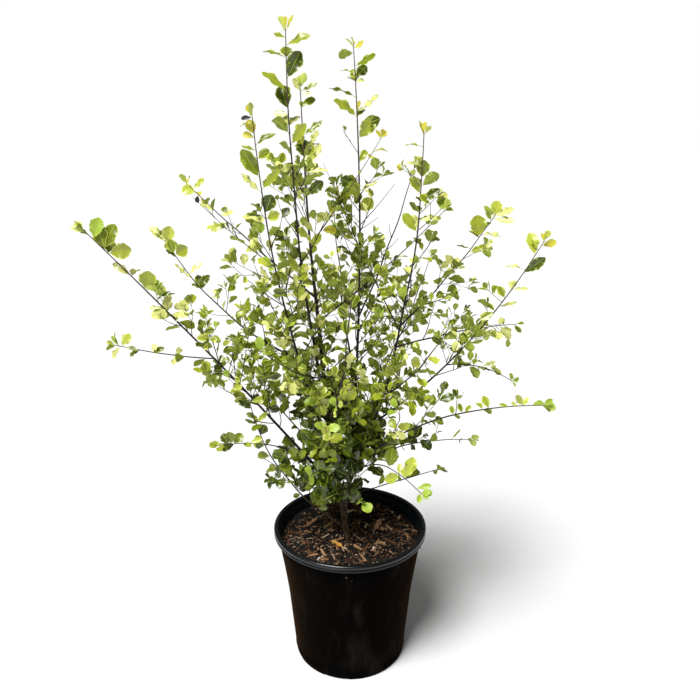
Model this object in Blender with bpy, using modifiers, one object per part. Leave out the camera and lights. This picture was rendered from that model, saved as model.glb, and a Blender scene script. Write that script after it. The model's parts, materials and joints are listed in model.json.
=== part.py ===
"""A young pittosporum shrub in a round black nursery pot. Metres, +Z up.

The origin is the middle of the pot's flat underside. Each stem of the shrub is one line,
worked out from the place where it leaves its parent, the way it points, how far out and how
high its last leaf reaches, and how much it bows. The lower share of a line is a bare bough.
The rest is the stem of one mass of foliage, with side twigs and leaves set along it by a
seeded rule.
"""

import math
import random
from dataclasses import dataclass

import bmesh
import bpy
import numpy as np
from mathutils import Matrix, Vector

GAP = 0.0003
CUT_CLEARANCE = 1.25 * GAP

POT_HEIGHT = 0.284
RIM_RADIUS = 0.1525
RIM_WIDTH = 0.009
LIP_HEIGHT = 0.013
LIP_ROUND = 0.003
LIP_EDGE = 0.001
CORNER_SHARE = 0.3
BODY_TOP_RADIUS = 0.1455
BODY_MID_RADIUS = 0.1305
BODY_MID_HEIGHT = 0.125
BASE_RADIUS = 0.1145
BASE_ROUND = 0.006
BASE_BAND = 0.0012
WALL = 0.0028
SHOULDER = 0.0015
FLOOR = 0.006
POT_STEPS = 40
SMOOTH_BELOW = 40

DRAIN_COUNT = 6
DRAIN_FIRST = -104.0
DRAIN_WIDTH = 0.050
DRAIN_DEPTH = 0.016
DRAIN_HEIGHT = 0.0035

SOIL_TOP = 0.255
SOIL_EDGE_DROP = 0.004
SOIL_FLAT_RADIUS = 0.085

TRUNK_FOOT = (-0.005, -0.010, SOIL_TOP + GAP)
TRUNK_FOOT_RADIUS = 0.0058
FLARE = 0.0032
FLARE_HEIGHT = 0.009
FLARE_SHARES = (0.0, 0.004, 0.012, 0.03)
TIP_RADIUS = 0.0007
TAPER_POWER = 0.9
LIMB_TAPER = 0.0034
PARENT_SHARE = 0.85
WAVER = 0.006
WAVER_TURNS = 2.3

POINT_SPACING = 0.062
STEM_WIDER = 1.15
TWIG_RADIUS = 0.0011
TWIG_TIP_RADIUS = 0.0007
TWIG_PITCH = 0.058
TWIG_LENGTH = 0.085
TWIG_LEAN = math.radians(52)
TWIG_LIFT = 0.2
TWIG_SIZES = (1.0, 0.75, 0.55)
TWIG_SHORTENS = 0.45
TWIG_ROOM = 0.85

LEAF_LENGTH = 0.047
LEAF_BREADTH = 0.78
LEAF_THICK = 0.022
LEAF_WIDEST = 0.56
LEAF_ROOT = 0.0006
BLADE_ROWS = 8
BLADE_COLUMNS = 7
LEAF_PITCH = 0.043
LEAF_LEAN = math.radians(59)
LEAF_LIFT = 0.25
LEAF_TURNS_OUT = 0.6
LEAF_SIZES = (1.0, 1.0, 1.0, 0.8)
TIP_LEAF_LEAN = 0.12
TIP_LEAF_INSET = 0.002
TIP_LEAF_REACH = 0.040
GOLDEN_ANGLE = math.radians(137.5)
OWN_MARGIN = 0.003
LIMB_MARGIN = 0.0025
LEAF_MARGIN = 0.003
SEED = 7

BARK_BROWN = (0.085, 0.055, 0.035)
LEAF_GREENS = ((0.16, 0.27, 0.06), (0.21, 0.33, 0.08), (0.27, 0.40, 0.10), (0.12, 0.21, 0.06))
POT_BLACK = (0.012, 0.012, 0.013)
SOIL_BROWN = (0.045, 0.030, 0.020)


@dataclass(frozen=True)
class Shoot:
    """One stem line, from the limb that it leaves to the furthest reach of its last leaf."""

    name: str
    parent: str
    leaves_at: float
    azimuth: float
    reach: float
    tip: float
    bow: float = 0.0
    bare: float = 0.0
    spread: float = 0.095
    bend_to: float | None = None


SHOOTS = (
    Shoot("leader", "", 0.0, 180, 0.086, 1.120, bow=0.015, bare=0.65, spread=0.075),
    Shoot("second_leader", "leader", 0.300, 84, 0.081, 1.193, bow=0.022, bare=0.50, spread=0.075, bend_to=0),
    Shoot("tall_left", "leader", 0.515, 233, 0.162, 1.184, bow=0.025, bare=0.40, spread=0.075, bend_to=200),
    Shoot("upper_left", "leader", 0.430, 227, 0.219, 1.065, bow=0.035, bare=0.42, bend_to=180),
    Shoot("far_left", "leader", 0.350, 200, 0.447, 0.897, bow=-0.010, bare=0.64),
    Shoot("mid_left", "upper_left", 0.645, 172, 0.363, 0.851, bow=0.080, bare=0.25),
    Shoot("back_left_high", "leader", 0.745, 154, 0.368, 0.947, bow=0.010, bare=0.25),
    Shoot("level_left", "far_left", 0.655, 194, 0.425, 0.685, bow=0.02),
    Shoot("low_left", "far_left", 0.420, 216, 0.281, 0.540, bow=-0.080, bare=0.25),
    Shoot("lowest_left", "leader", 0.277, 207, 0.216, 0.592, bow=0.100, bare=0.45, bend_to=175),
    Shoot("tall_right", "second_leader", 0.360, 335, 0.140, 1.042, bow=0.055, bare=0.56, bend_to=25),
    Shoot("upper_right", "tall_right", 0.695, 23, 0.320, 0.895, bow=0.030, bare=0.25),
    Shoot("level_right", "tall_right", 0.655, 30, 0.430, 0.645, bow=-0.020, bare=0.30),
    Shoot("far_right", "tall_right", 0.500, 340, 0.345, 0.870, bow=0.050, bare=0.46),
    Shoot("low_right", "tall_right", 0.415, 322, 0.385, 0.640, bow=-0.070, bare=0.30),
    Shoot("mid_right", "far_right", 0.635, 5, 0.325, 0.580, bow=-0.060),
    Shoot("drooping_right", "tall_right", 0.388, 300, 0.244, 0.477, bow=-0.130),
    Shoot("crossing_right", "leader", 0.700, 17, 0.195, 0.905, bow=0.020, bare=0.35),
    Shoot("back_right_low", "second_leader", 0.410, 22, 0.290, 0.425, bow=-0.060),
    Shoot("front_high", "leader", 0.485, 271, 0.290, 0.820, bow=0.050, bare=0.40),
    Shoot("front_mid", "leader", 0.455, 262, 0.270, 0.604, bow=0.030),
    Shoot("front_low", "leader", 0.385, 250, 0.192, 0.490, bow=-0.050),
    Shoot("front_right", "tall_right", 0.560, 298, 0.310, 0.760, bow=0.040, bare=0.30),
    Shoot("back_high", "second_leader", 0.550, 97, 0.330, 0.920, bow=0.050, bare=0.35),
    Shoot("back_left", "second_leader", 0.450, 125, 0.390, 0.760, bow=0.040, bare=0.40),
    Shoot("back_right", "second_leader", 0.480, 60, 0.380, 0.780, bow=0.040, bare=0.40),
    Shoot("back_low", "second_leader", 0.390, 92, 0.300, 0.560),
    Shoot("back_left_low", "leader", 0.405, 152, 0.300, 0.590, bow=-0.020, bare=0.30),
    Shoot("front_left", "tall_left", 0.600, 242, 0.290, 0.720, bow=0.030),
    Shoot("back_right_high", "second_leader", 0.700, 52, 0.220, 0.990, bow=0.030),
    Shoot("heart_front", "leader", 0.335, 278, 0.165, 0.420),
    Shoot("heart_left", "leader", 0.325, 172, 0.185, 0.420),
    Shoot("heart_right", "second_leader", 0.345, 345, 0.185, 0.430),
    Shoot("heart_back", "second_leader", 0.330, 82, 0.175, 0.430),
    Shoot("heart_high_front", "leader", 0.600, 300, 0.120, 0.740, bow=0.030),
    Shoot("heart_high_back", "leader", 0.585, 118, 0.150, 0.730, bow=0.030),
    Shoot("heart_high_right", "second_leader", 0.620, 20, 0.150, 0.770, bow=0.030),
)


def unit(vector):
    """The vector at length one."""
    return vector / np.linalg.norm(vector)


def compass(azimuth):
    """The level direction at this azimuth, in degrees anticlockwise from +X."""
    angle = math.radians(azimuth)
    return np.array([math.cos(angle), math.sin(angle), 0.0])


class StemLine:
    """The curve of one shoot: a quadratic arc from its foot to its tip, with a slight waver."""

    def __init__(self, shoot, foot, foot_radius):
        self.shoot = shoot
        self.foot = np.array(foot)
        furthest = compass(shoot.azimuth) * shoot.reach + np.array([0.0, 0.0, shoot.tip])
        along = unit(furthest - self.foot)
        self.tip = furthest - TIP_LEAF_REACH * along
        self.length = float(np.linalg.norm(self.tip - self.foot))
        toward = np.array([0.0, 0.0, -1.0]) if shoot.bend_to is None else compass(shoot.bend_to)
        bulge = unit(toward - (toward @ along) * along)
        self.control = (self.foot + self.tip) / 2 + 2 * shoot.bow * self.length * bulge
        self.side = np.cross(along, bulge)
        self.foot_radius = foot_radius

    def point(self, share):
        """The place at this share of the line."""
        share = np.asarray(share, float)[..., None]
        arc = (1 - share) ** 2 * self.foot + 2 * share * (1 - share) * self.control + share**2 * self.tip
        swing = np.sin(2 * math.pi * WAVER_TURNS * share + math.radians(self.shoot.azimuth))
        ends_still = 4 * share * (1 - share)
        return arc + self.side * WAVER * self.length * swing * ends_still

    def heading(self, share):
        """The line's direction at this share of it."""
        step = 0.01
        return unit(self.point(min(share + step, 1.0)) - self.point(max(share - step, 0.0)))

    def radius(self, share):
        """The wood's radius at this share of the line, flared where it leaves the soil."""
        radius = TIP_RADIUS + (self.foot_radius - TIP_RADIUS) * (1 - share) ** TAPER_POWER
        if not self.shoot.parent:
            radius += FLARE * math.exp(-share * self.length / FLARE_HEIGHT)
        return radius

    def share_at_height(self, height):
        """The share of the line where it passes this height."""
        shares = np.linspace(0, 1, 200)
        heights = np.maximum.accumulate(self.point(shares)[:, 2])
        return float(np.interp(height, heights, shares))

    def samples(self, start, end):
        """Evenly spaced points along this stretch of the line."""
        count = max(3, round((end - start) * self.length / POINT_SPACING) + 1)
        shares = np.linspace(start, end, count)
        return shares, self.point(shares)


def stem_lines():
    """Each shoot's line by name, in an order that has every parent before its children."""
    lines = {}
    for shoot in SHOOTS:
        if not shoot.parent:
            lines[shoot.name] = StemLine(shoot, TRUNK_FOOT, TRUNK_FOOT_RADIUS)
            continue
        parent = lines[shoot.parent]
        share = parent.share_at_height(shoot.leaves_at)
        foot = parent.point(share)
        line = StemLine(shoot, foot, 0.0)
        wanted = TIP_RADIUS + LIMB_TAPER * line.length
        line.foot_radius = min(wanted, PARENT_SHARE * parent.radius(share))
        lines[shoot.name] = line
    return lines


def segment_distances(points, starts, ends):
    """The distance from each point to each segment, as a table."""
    spans = ends - starts
    lengths = np.maximum((spans**2).sum(axis=1), 1e-12)
    offsets = points[:, None, :] - starts[None]
    along = np.clip((offsets * spans).sum(axis=2) / lengths, 0, 1)
    return np.linalg.norm(offsets - along[..., None] * spans, axis=2)


class Crown:
    """The room that the shrub's stems share, for keeping each mass to its own space."""

    def __init__(self, lines):
        self.starts, self.ends, self.owners, self.radii, self.is_limb = [], [], [], [], []
        for line in lines.values():
            self.add(line, 0.0, line.shoot.bare, limb=True)
            self.add(line, line.shoot.bare, 1.0, limb=False)
        self.starts = np.array(self.starts)
        self.ends = np.array(self.ends)
        self.owners = np.array(self.owners)
        self.radii = np.array(self.radii)
        self.is_limb = np.array(self.is_limb)

    def add(self, line, start, end, limb):
        """Records one stretch of a line as limb or as the stem of its mass."""
        if end <= start:
            return
        shares, points = line.samples(start, end)
        for index in range(len(points) - 1):
            self.starts.append(points[index])
            self.ends.append(points[index + 1])
            self.owners.append(line.shoot.name)
            self.radii.append(line.radius(float(shares[index])))
            self.is_limb.append(limb)

    def holds(self, name, spread, points):
        """Whether all the points lie in this mass's own space and clear of every limb."""
        table = segment_distances(points, self.starts, self.ends)
        stems = ~self.is_limb
        own = table[:, stems & (self.owners == name)].min(axis=1)
        others = table[:, stems & (self.owners != name)].min(axis=1)
        limbs = (table[:, self.is_limb] - self.radii[self.is_limb]).min(axis=1)
        clear = (own + OWN_MARGIN < others) & (own < spread) & (limbs > LIMB_MARGIN)
        return bool(clear.all())


@dataclass
class Leaf:
    """One leaf: its foot on the twig, the way it points, the way its face turns, its length."""

    foot: np.ndarray
    along: np.ndarray
    face: np.ndarray
    length: float

    def side(self):
        """The direction across the blade."""
        return np.cross(self.face, self.along)

    def blade_points(self):
        """Points spread over the blade, for measuring how clear it lies."""
        half = LEAF_BREADTH * self.length / 2
        points = []
        for share in np.linspace(0.15, 1.0, BLADE_ROWS):
            width = half * min(share / LEAF_WIDEST, (1 - share) / (1 - LEAF_WIDEST))
            for across in np.linspace(-1.0, 1.0, BLADE_COLUMNS):
                points.append(self.foot + self.along * share * self.length + self.side() * across * width)
        return np.array(points)


@dataclass
class Twig:
    """One straight side twig between two points."""

    start: np.ndarray
    end: np.ndarray

    def points(self, first=0.25):
        """Points along the twig, beyond its root."""
        shares = np.linspace(first, 1.0, 6)[:, None]
        return self.start + (self.end - self.start) * shares


def turned(heading, turn, lean):
    """A direction that leans off a heading, at this turn round it."""
    across = unit(np.cross(heading, np.array([0.37, 0.61, 0.70])))
    other = np.cross(heading, across)
    out = across * math.cos(turn) + other * math.sin(turn)
    return unit(heading * math.cos(lean) + out * math.sin(lean))


class Growth:
    """Sets the side twigs and leaves of one mass along its stem."""

    def __init__(self, crown, line):
        self.crown = crown
        self.line = line
        self.shoot = line.shoot
        self.random = random.Random(f"{SEED} {line.shoot.name}")
        self.shares, self.points = line.samples(line.shoot.bare, 1.0)
        self.twigs = []
        self.leaves = []

    def stem_point(self, share):
        """The place on the stem's own straight pieces at this share of the line."""
        return np.array([np.interp(share, self.shares, self.points[:, axis]) for axis in range(3)])

    def fits(self, points):
        """Whether the points keep to this mass's space."""
        return self.crown.holds(self.shoot.name, self.shoot.spread, points)

    def clear_of_leaves(self, points):
        """Whether the points keep off the leaves already set."""
        for leaf in self.leaves:
            gaps = np.linalg.norm(points[:, None] - leaf.blade_points()[None], axis=2)
            if gaps.min() < LEAF_MARGIN:
                return False
        return True

    def add_leaf(self, foot, heading, turn, lean):
        """Sets a leaf if it fits, trying a few turns round the twig and then a smaller size."""
        length = LEAF_LENGTH * self.random.uniform(0.88, 1.12)
        tilt = self.random.uniform(-0.5, 0.5)
        for size in LEAF_SIZES:
            along = unit(turned(heading, turn, lean) + np.array([0.0, 0.0, LEAF_LIFT]))
            level = np.array([0.0, 0.0, 1.0]) + LEAF_TURNS_OUT * unit(heading)
            level = level + tilt * np.cross(along, heading)
            face = unit(level - (level @ along) * along)
            leaf = Leaf(foot, along, face, size * length)
            points = leaf.blade_points()[BLADE_COLUMNS:]
            if self.fits(points) and self.clear_of_leaves(points):
                self.leaves.append(leaf)
                return
            turn += GOLDEN_ANGLE / 2

    def add_twig(self, share, turn):
        """Sets a side twig if it fits, or a shorter one, and its leaves."""
        start = self.stem_point(share)
        heading = self.line.heading(share)
        room = min(TWIG_LENGTH, TWIG_ROOM * self.shoot.spread) * (1.0 - TWIG_SHORTENS * share)
        for size in TWIG_SIZES:
            along = unit(turned(heading, turn, TWIG_LEAN) + np.array([0.0, 0.0, TWIG_LIFT]))
            twig = Twig(start, start + along * size * room * self.random.uniform(0.9, 1.1))
            points = twig.points()
            if self.fits(points) and self.clear_of_leaves(points):
                self.twigs.append(twig)
                self.leaf_twig(twig)
                return

    def leaf_twig(self, twig):
        """Sets leaves along a side twig and one at its tip."""
        span = twig.end - twig.start
        length = float(np.linalg.norm(span))
        heading = span / length
        self.add_leaf(twig.end - heading * TIP_LEAF_INSET, heading, 0.0, TIP_LEAF_LEAN)
        turn = self.random.uniform(0, 2 * math.pi)
        place = length - 0.6 * LEAF_PITCH
        while place > 0.4 * LEAF_PITCH:
            self.add_leaf(twig.start + heading * place, heading, turn, LEAF_LEAN)
            turn += GOLDEN_ANGLE
            place -= LEAF_PITCH

    def grow(self):
        """Grows the mass from its stem's tip down to where it meets its bough or the trunk."""
        bare = self.shoot.bare
        stem_length = (1 - bare) * self.line.length
        tip_heading = self.line.heading(0.99)
        foot = self.stem_point(1.0) - tip_heading * TIP_LEAF_INSET
        self.add_leaf(foot, tip_heading, 0.0, TIP_LEAF_LEAN)
        turn = self.random.uniform(0, 2 * math.pi)
        place = stem_length - 0.75 * TWIG_PITCH
        while place > 0.3 * TWIG_PITCH:
            self.add_twig(bare + place / self.line.length, turn)
            turn += GOLDEN_ANGLE
            place -= TWIG_PITCH
        place = stem_length - 0.5 * LEAF_PITCH
        while place > 0.4 * LEAF_PITCH:
            share = bare + place / self.line.length
            self.add_leaf(self.stem_point(share), self.line.heading(share), turn, LEAF_LEAN)
            turn += GOLDEN_ANGLE
            place -= LEAF_PITCH
        return self


def new_material(name, color, roughness, metallic=0.0):
    """A plain Principled material."""
    material = bpy.data.materials.new(name)
    material.use_nodes = True
    shader = material.node_tree.nodes["Principled BSDF"]
    shader.inputs["Base Color"].default_value = (*color, 1.0)
    shader.inputs["Roughness"].default_value = roughness
    shader.inputs["Metallic"].default_value = metallic
    return material


def mesh_object(name, mesh, collection, material=None):
    """An object for the mesh, linked to the collection."""
    obj = bpy.data.objects.new(name, mesh)
    collection.objects.link(obj)
    if material:
        mesh.materials.clear()
        mesh.materials.append(material)
    return obj


def shade_smooth(obj):
    """Smooth shading, with the sharpest edges left sharp."""
    obj.data.shade_smooth()
    obj.data.set_sharp_from_angle(angle=math.radians(SMOOTH_BELOW))


def turned_object(name, profile, steps, collection, material):
    """A body of revolution round Z from a profile of (radius, height) points, top to bottom."""
    mesh = bpy.data.meshes.new(name)
    edges = [(index, index + 1) for index in range(len(profile) - 1)]
    mesh.from_pydata([(radius, 0.0, height) for radius, height in profile], edges, [])
    obj = mesh_object(name, mesh, collection, material)
    screw = obj.modifiers.new("Turn", "SCREW")
    screw.axis = "Z"
    screw.steps = steps
    screw.render_steps = steps
    screw.use_merge_vertices = True
    screw.merge_threshold = 0.00002
    return obj


def triangle_section():
    """The three-sided cross-section that twigs are swept with."""
    curve = bpy.data.curves.new("twig_section", "CURVE")
    curve.dimensions = "2D"
    spline = curve.splines.new("POLY")
    spline.points.add(2)
    for index in range(3):
        angle = -2 * math.pi * index / 3
        spline.points[index].co = (math.cos(angle), math.sin(angle), 0.0, 1.0)
    spline.use_cyclic_u = True
    return bpy.data.objects.new("twig_section", curve)


def tube_mesh(name, points, radii, section=None, bevel_resolution=1):
    """A closed tapering tube through the points: round, or swept with a section."""
    curve = bpy.data.curves.new(name, "CURVE")
    curve.dimensions = "3D"
    spline = curve.splines.new("POLY")
    spline.points.add(len(points) - 1)
    for target, point, radius in zip(spline.points, points, radii):
        target.co = (*point, 1.0)
        target.radius = radius
    if section:
        curve.bevel_mode = "OBJECT"
        curve.bevel_object = section
    else:
        curve.bevel_depth = 1.0
        curve.bevel_resolution = bevel_resolution
    curve.use_fill_caps = True
    holder = bpy.data.objects.new(name, curve)
    bpy.context.scene.collection.objects.link(holder)
    graph = bpy.context.evaluated_depsgraph_get()
    mesh = bpy.data.meshes.new_from_object(holder.evaluated_get(graph))
    bpy.data.objects.remove(holder)
    bpy.data.curves.remove(curve)
    work = bmesh.new()
    work.from_mesh(mesh)
    bmesh.ops.remove_doubles(work, verts=work.verts, dist=1e-6)
    work.to_mesh(mesh)
    work.free()
    mesh.name = name
    return mesh


def leaf_mesh(leaf):
    """A thin blade of eight faces: four points on its outline and one on each side."""
    work = bmesh.new()
    bmesh.ops.create_uvsphere(work, u_segments=4, v_segments=2, radius=1.0)
    length, half = leaf.length, LEAF_BREADTH * leaf.length / 2
    shift = (LEAF_WIDEST - 0.5) * length
    for vertex in work.verts:
        middle = 1 - abs(vertex.co.x)
        vertex.co = Vector((
            (vertex.co.x + 1) * length / 2 + shift * middle,
            vertex.co.y * half,
            vertex.co.z * LEAF_THICK * length / 2,
        ))
    side = leaf.side()
    place = Matrix((
        (leaf.along[0], side[0], leaf.face[0], leaf.foot[0] - LEAF_ROOT * leaf.along[0]),
        (leaf.along[1], side[1], leaf.face[1], leaf.foot[1] - LEAF_ROOT * leaf.along[1]),
        (leaf.along[2], side[2], leaf.face[2], leaf.foot[2] - LEAF_ROOT * leaf.along[2]),
        (0.0, 0.0, 0.0, 1.0),
    ))
    work.transform(place)
    mesh = bpy.data.meshes.new("leaf")
    work.to_mesh(mesh)
    work.free()
    return mesh


def apply_boolean(obj, operation, solver, other=None, collection=None):
    """Cuts or joins and keeps the result as the object's mesh."""
    modifier = obj.modifiers.new(operation.title(), "BOOLEAN")
    modifier.operation = operation
    modifier.solver = solver
    if collection:
        modifier.operand_type = "COLLECTION"
        modifier.collection = collection
    else:
        modifier.object = other
    graph = bpy.context.evaluated_depsgraph_get()
    graph.update()
    mesh = bpy.data.meshes.new_from_object(obj.evaluated_get(graph))
    obj.modifiers.remove(modifier)
    old = obj.data
    obj.data = mesh
    bpy.data.meshes.remove(old)


def is_closed(mesh):
    """Whether every edge of the mesh has exactly two faces."""
    work = bmesh.new()
    work.from_mesh(mesh)
    closed = len(work.faces) > 0 and all(edge.is_manifold for edge in work.edges)
    work.free()
    return closed


def keep_largest_body(mesh):
    """Drops any scrap that a cut or a join has left beside the main body."""
    work = bmesh.new()
    work.from_mesh(mesh)
    unseen = set(work.verts)
    bodies = []
    while unseen:
        body, to_visit = set(), [unseen.pop()]
        while to_visit:
            vertex = to_visit.pop()
            body.add(vertex)
            for edge in vertex.link_edges:
                other = edge.other_vert(vertex)
                if other in unseen:
                    unseen.remove(other)
                    to_visit.append(other)
        bodies.append(body)
    bodies.sort(key=len)
    for scrap in bodies[:-1]:
        bmesh.ops.delete(work, geom=list(scrap), context="VERTS")
    work.to_mesh(mesh)
    work.free()


class Potted:
    """Builds every object of the part into its collections."""

    def __init__(self):
        self.parts = bpy.data.collections.new("potted_pittosporum")
        self.cutters = bpy.data.collections.new("cutters")
        self.scraps = bpy.data.collections.new("pieces_to_join")
        for collection in (self.parts, self.cutters, self.scraps):
            bpy.context.scene.collection.children.link(collection)
        self.section = triangle_section()
        self.lines = stem_lines()
        self.crown = Crown(self.lines)
        self.clearances = {}

    def build_pot(self):
        """The turned pot, with its lip and the arched drain notches round its foot."""
        inner_top = RIM_RADIUS - RIM_WIDTH
        lip_bottom = POT_HEIGHT - LIP_HEIGHT
        profile = [
            (inner_top + LIP_ROUND, POT_HEIGHT),
            (RIM_RADIUS - LIP_ROUND, POT_HEIGHT),
            (RIM_RADIUS - CORNER_SHARE * LIP_ROUND, POT_HEIGHT - CORNER_SHARE * LIP_ROUND),
            (RIM_RADIUS, POT_HEIGHT - LIP_ROUND),
            (RIM_RADIUS - SHOULDER, lip_bottom + LIP_EDGE),
            (RIM_RADIUS - SHOULDER - LIP_EDGE, lip_bottom),
            (BODY_TOP_RADIUS, lip_bottom),
            (BODY_MID_RADIUS, BODY_MID_HEIGHT),
            (BASE_RADIUS + BASE_BAND, 2 * BASE_ROUND),
            (BASE_RADIUS, BASE_ROUND),
            (BASE_RADIUS - CORNER_SHARE * BASE_ROUND, CORNER_SHARE * BASE_ROUND),
            (BASE_RADIUS - BASE_ROUND, 0.0),
            (0.0, 0.0),
        ]
        floor_corner = BASE_RADIUS - WALL
        inside = [
            (0.0, FLOOR),
            (floor_corner - BASE_ROUND, FLOOR),
            (floor_corner, FLOOR + BASE_ROUND),
            (BODY_MID_RADIUS - WALL, BODY_MID_HEIGHT),
            (inner_top - SHOULDER, lip_bottom),
            (inner_top, POT_HEIGHT - LIP_ROUND),
        ]
        black = new_material("pot_black", POT_BLACK, 0.45)
        pot = turned_object("pot", profile + inside + [profile[0]], POT_STEPS, self.parts, black)
        for index in range(DRAIN_COUNT):
            self.cut_drain(pot, DRAIN_FIRST + 360.0 * index / DRAIN_COUNT)
        shade_smooth(pot)

    def cut_drain(self, pot, azimuth):
        """One low arch in the pot's lower corner, which lets water out under the wall."""
        work = bmesh.new()
        bmesh.ops.create_cube(work, size=1.0)
        for vertex in work.verts:
            vertex.co.x *= 2 * DRAIN_DEPTH
            vertex.co.y *= DRAIN_WIDTH
            vertex.co.z *= 2 * DRAIN_HEIGHT
        mesh = bpy.data.meshes.new("drain_cutter")
        work.to_mesh(mesh)
        work.free()
        cutter = mesh_object(f"drain_cutter_{azimuth:.0f}", mesh, self.cutters)
        cutter.location = compass(azimuth) * BASE_RADIUS
        cutter.rotation_euler.z = math.radians(azimuth)
        self.hide(cutter)
        cut = pot.modifiers.new(cutter.name, "BOOLEAN")
        cut.operation = "DIFFERENCE"
        cut.object = cutter

    def hide(self, cutter):
        """Marks an object as a helper."""
        cutter.hide_render = True
        cutter.display_type = "WIRE"

    def build_soil(self):
        """The potting mix that fills the pot, with a level top that drops a little at the wall."""
        wall = RIM_RADIUS - RIM_WIDTH - SHOULDER
        slope = (wall - (BODY_MID_RADIUS - WALL)) / (POT_HEIGHT - LIP_HEIGHT - BODY_MID_HEIGHT)
        edge_height = SOIL_TOP - SOIL_EDGE_DROP
        edge_radius = BODY_MID_RADIUS - WALL + slope * (edge_height - BODY_MID_HEIGHT)
        floor_corner = BASE_RADIUS - WALL
        profile = [
            (0.0, SOIL_TOP),
            (SOIL_FLAT_RADIUS, SOIL_TOP),
            (edge_radius - GAP, edge_height),
            (BODY_MID_RADIUS - WALL - GAP, BODY_MID_HEIGHT),
            (floor_corner - 2 * GAP, FLOOR + BASE_ROUND),
            (floor_corner - BASE_ROUND - GAP, FLOOR + GAP),
            (0.0, FLOOR + GAP),
        ]
        brown = new_material("potting_mix_brown", SOIL_BROWN, 0.95)
        soil = turned_object("potting_mix", profile, POT_STEPS, self.parts, brown)
        shade_smooth(soil)

    def limb_points(self, line):
        """The centre points and radii of the bare part of a line."""
        shares, points = line.samples(0.0, line.shoot.bare)
        if not line.shoot.parent:
            lift = np.array([0.0, 0.0, FLARE_HEIGHT / 3])
            shares = np.concatenate([FLARE_SHARES, shares[1:]])
            points = line.point(shares)
            points[1] = points[0] + lift
        return points, [line.radius(float(share)) for share in shares]

    def build_limbs(self):
        """The trunk, the second trunk and the boughs, each cut clear of the one it leaves."""
        bark = new_material("bark_brown", BARK_BROWN, 0.8)
        names = {"leader": "trunk", "second_leader": "trunk_second"}
        for name, line in self.lines.items():
            if not line.shoot.bare:
                continue
            points, radii = self.limb_points(line)
            sides = 2 if name in names else 1
            mesh = tube_mesh(name, points, radii, bevel_resolution=sides)
            limb = mesh_object(names.get(name, f"bough_{name}"), mesh, self.parts, bark)
            wider = [radius + CUT_CLEARANCE for radius in radii]
            clearance = tube_mesh(f"{name}_clearance", points, wider, bevel_resolution=sides)
            self.clearances[name] = mesh_object(f"{name}_clearance", clearance, self.cutters)
            self.hide(self.clearances[name])
            if line.shoot.parent:
                apply_boolean(limb, "DIFFERENCE", "EXACT", other=self.clearances[line.shoot.parent])
                keep_largest_body(limb.data)
            shade_smooth(limb)

    def build_mass(self, line, index):
        """One mass of foliage: its stem, side twigs and leaves joined into one body."""
        shoot = line.shoot
        growth = Growth(self.crown, line).grow()
        points = growth.points.copy()
        if shoot.bare:
            points[0] += GAP * unit(points[1] - points[0])
        radii = [STEM_WIDER * line.radius(float(share)) for share in growth.shares]
        greens = self.greens[index % len(self.greens)]
        stem = tube_mesh("stem", points, radii, section=self.section)
        mass = mesh_object(f"foliage_{shoot.name}", stem, self.parts, greens)
        for twig in growth.twigs:
            ends = [twig.start, twig.end]
            mesh = tube_mesh("twig", ends, [TWIG_RADIUS, TWIG_TIP_RADIUS], section=self.section)
            mesh_object("twig", mesh, self.scraps)
        for leaf in growth.leaves:
            mesh_object("leaf", leaf_mesh(leaf), self.scraps)
        apply_boolean(mass, "UNION", "MANIFOLD", collection=self.scraps)
        for piece in list(self.scraps.objects):
            bpy.data.objects.remove(piece)
        if not shoot.bare:
            apply_boolean(mass, "DIFFERENCE", "EXACT", other=self.clearances[shoot.parent])
        keep_largest_body(mass.data)
        mass.data.materials.clear()
        mass.data.materials.append(greens)
        print(mass.name, "leaves", len(growth.leaves), "closed", is_closed(mass.data))

    def build(self):
        """Builds the whole part."""
        self.build_pot()
        self.build_soil()
        self.build_limbs()
        self.greens = [
            new_material(f"leaf_green_{number}", color, 0.4) for number, color in enumerate(LEAF_GREENS)
        ]
        for index, line in enumerate(self.lines.values()):
            self.build_mass(line, index)
        bpy.data.objects.remove(self.section)
        bpy.data.collections.remove(self.scraps)


def main():
    """Clears the scene and builds the potted shrub."""
    for obj in list(bpy.data.objects):
        bpy.data.objects.remove(obj)
    Potted().build()


if __name__ == "__main__":
    main()
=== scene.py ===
"""The looks of a young pittosporum shrub in a round black nursery pot. Metres, +Z up.

Every stem is one line, which starts on its parent and whose furthest leaf reaches a named
distance out and up, as in the solids. Finer twigs and life-size leaves grow along the lines by
a seeded rule and keep to the reach of the solid masses that they replace.
"""

import json
import logging
import random
from dataclasses import dataclass, field
from enum import Enum
from math import cos, exp, hypot, log, pi, radians, sin, sqrt, tan

import bmesh
import bpy
import numpy as np
from bpy.types import ID, Material, Node, NodeSocket, NodeTree, Object
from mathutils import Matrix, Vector, noise

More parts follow.
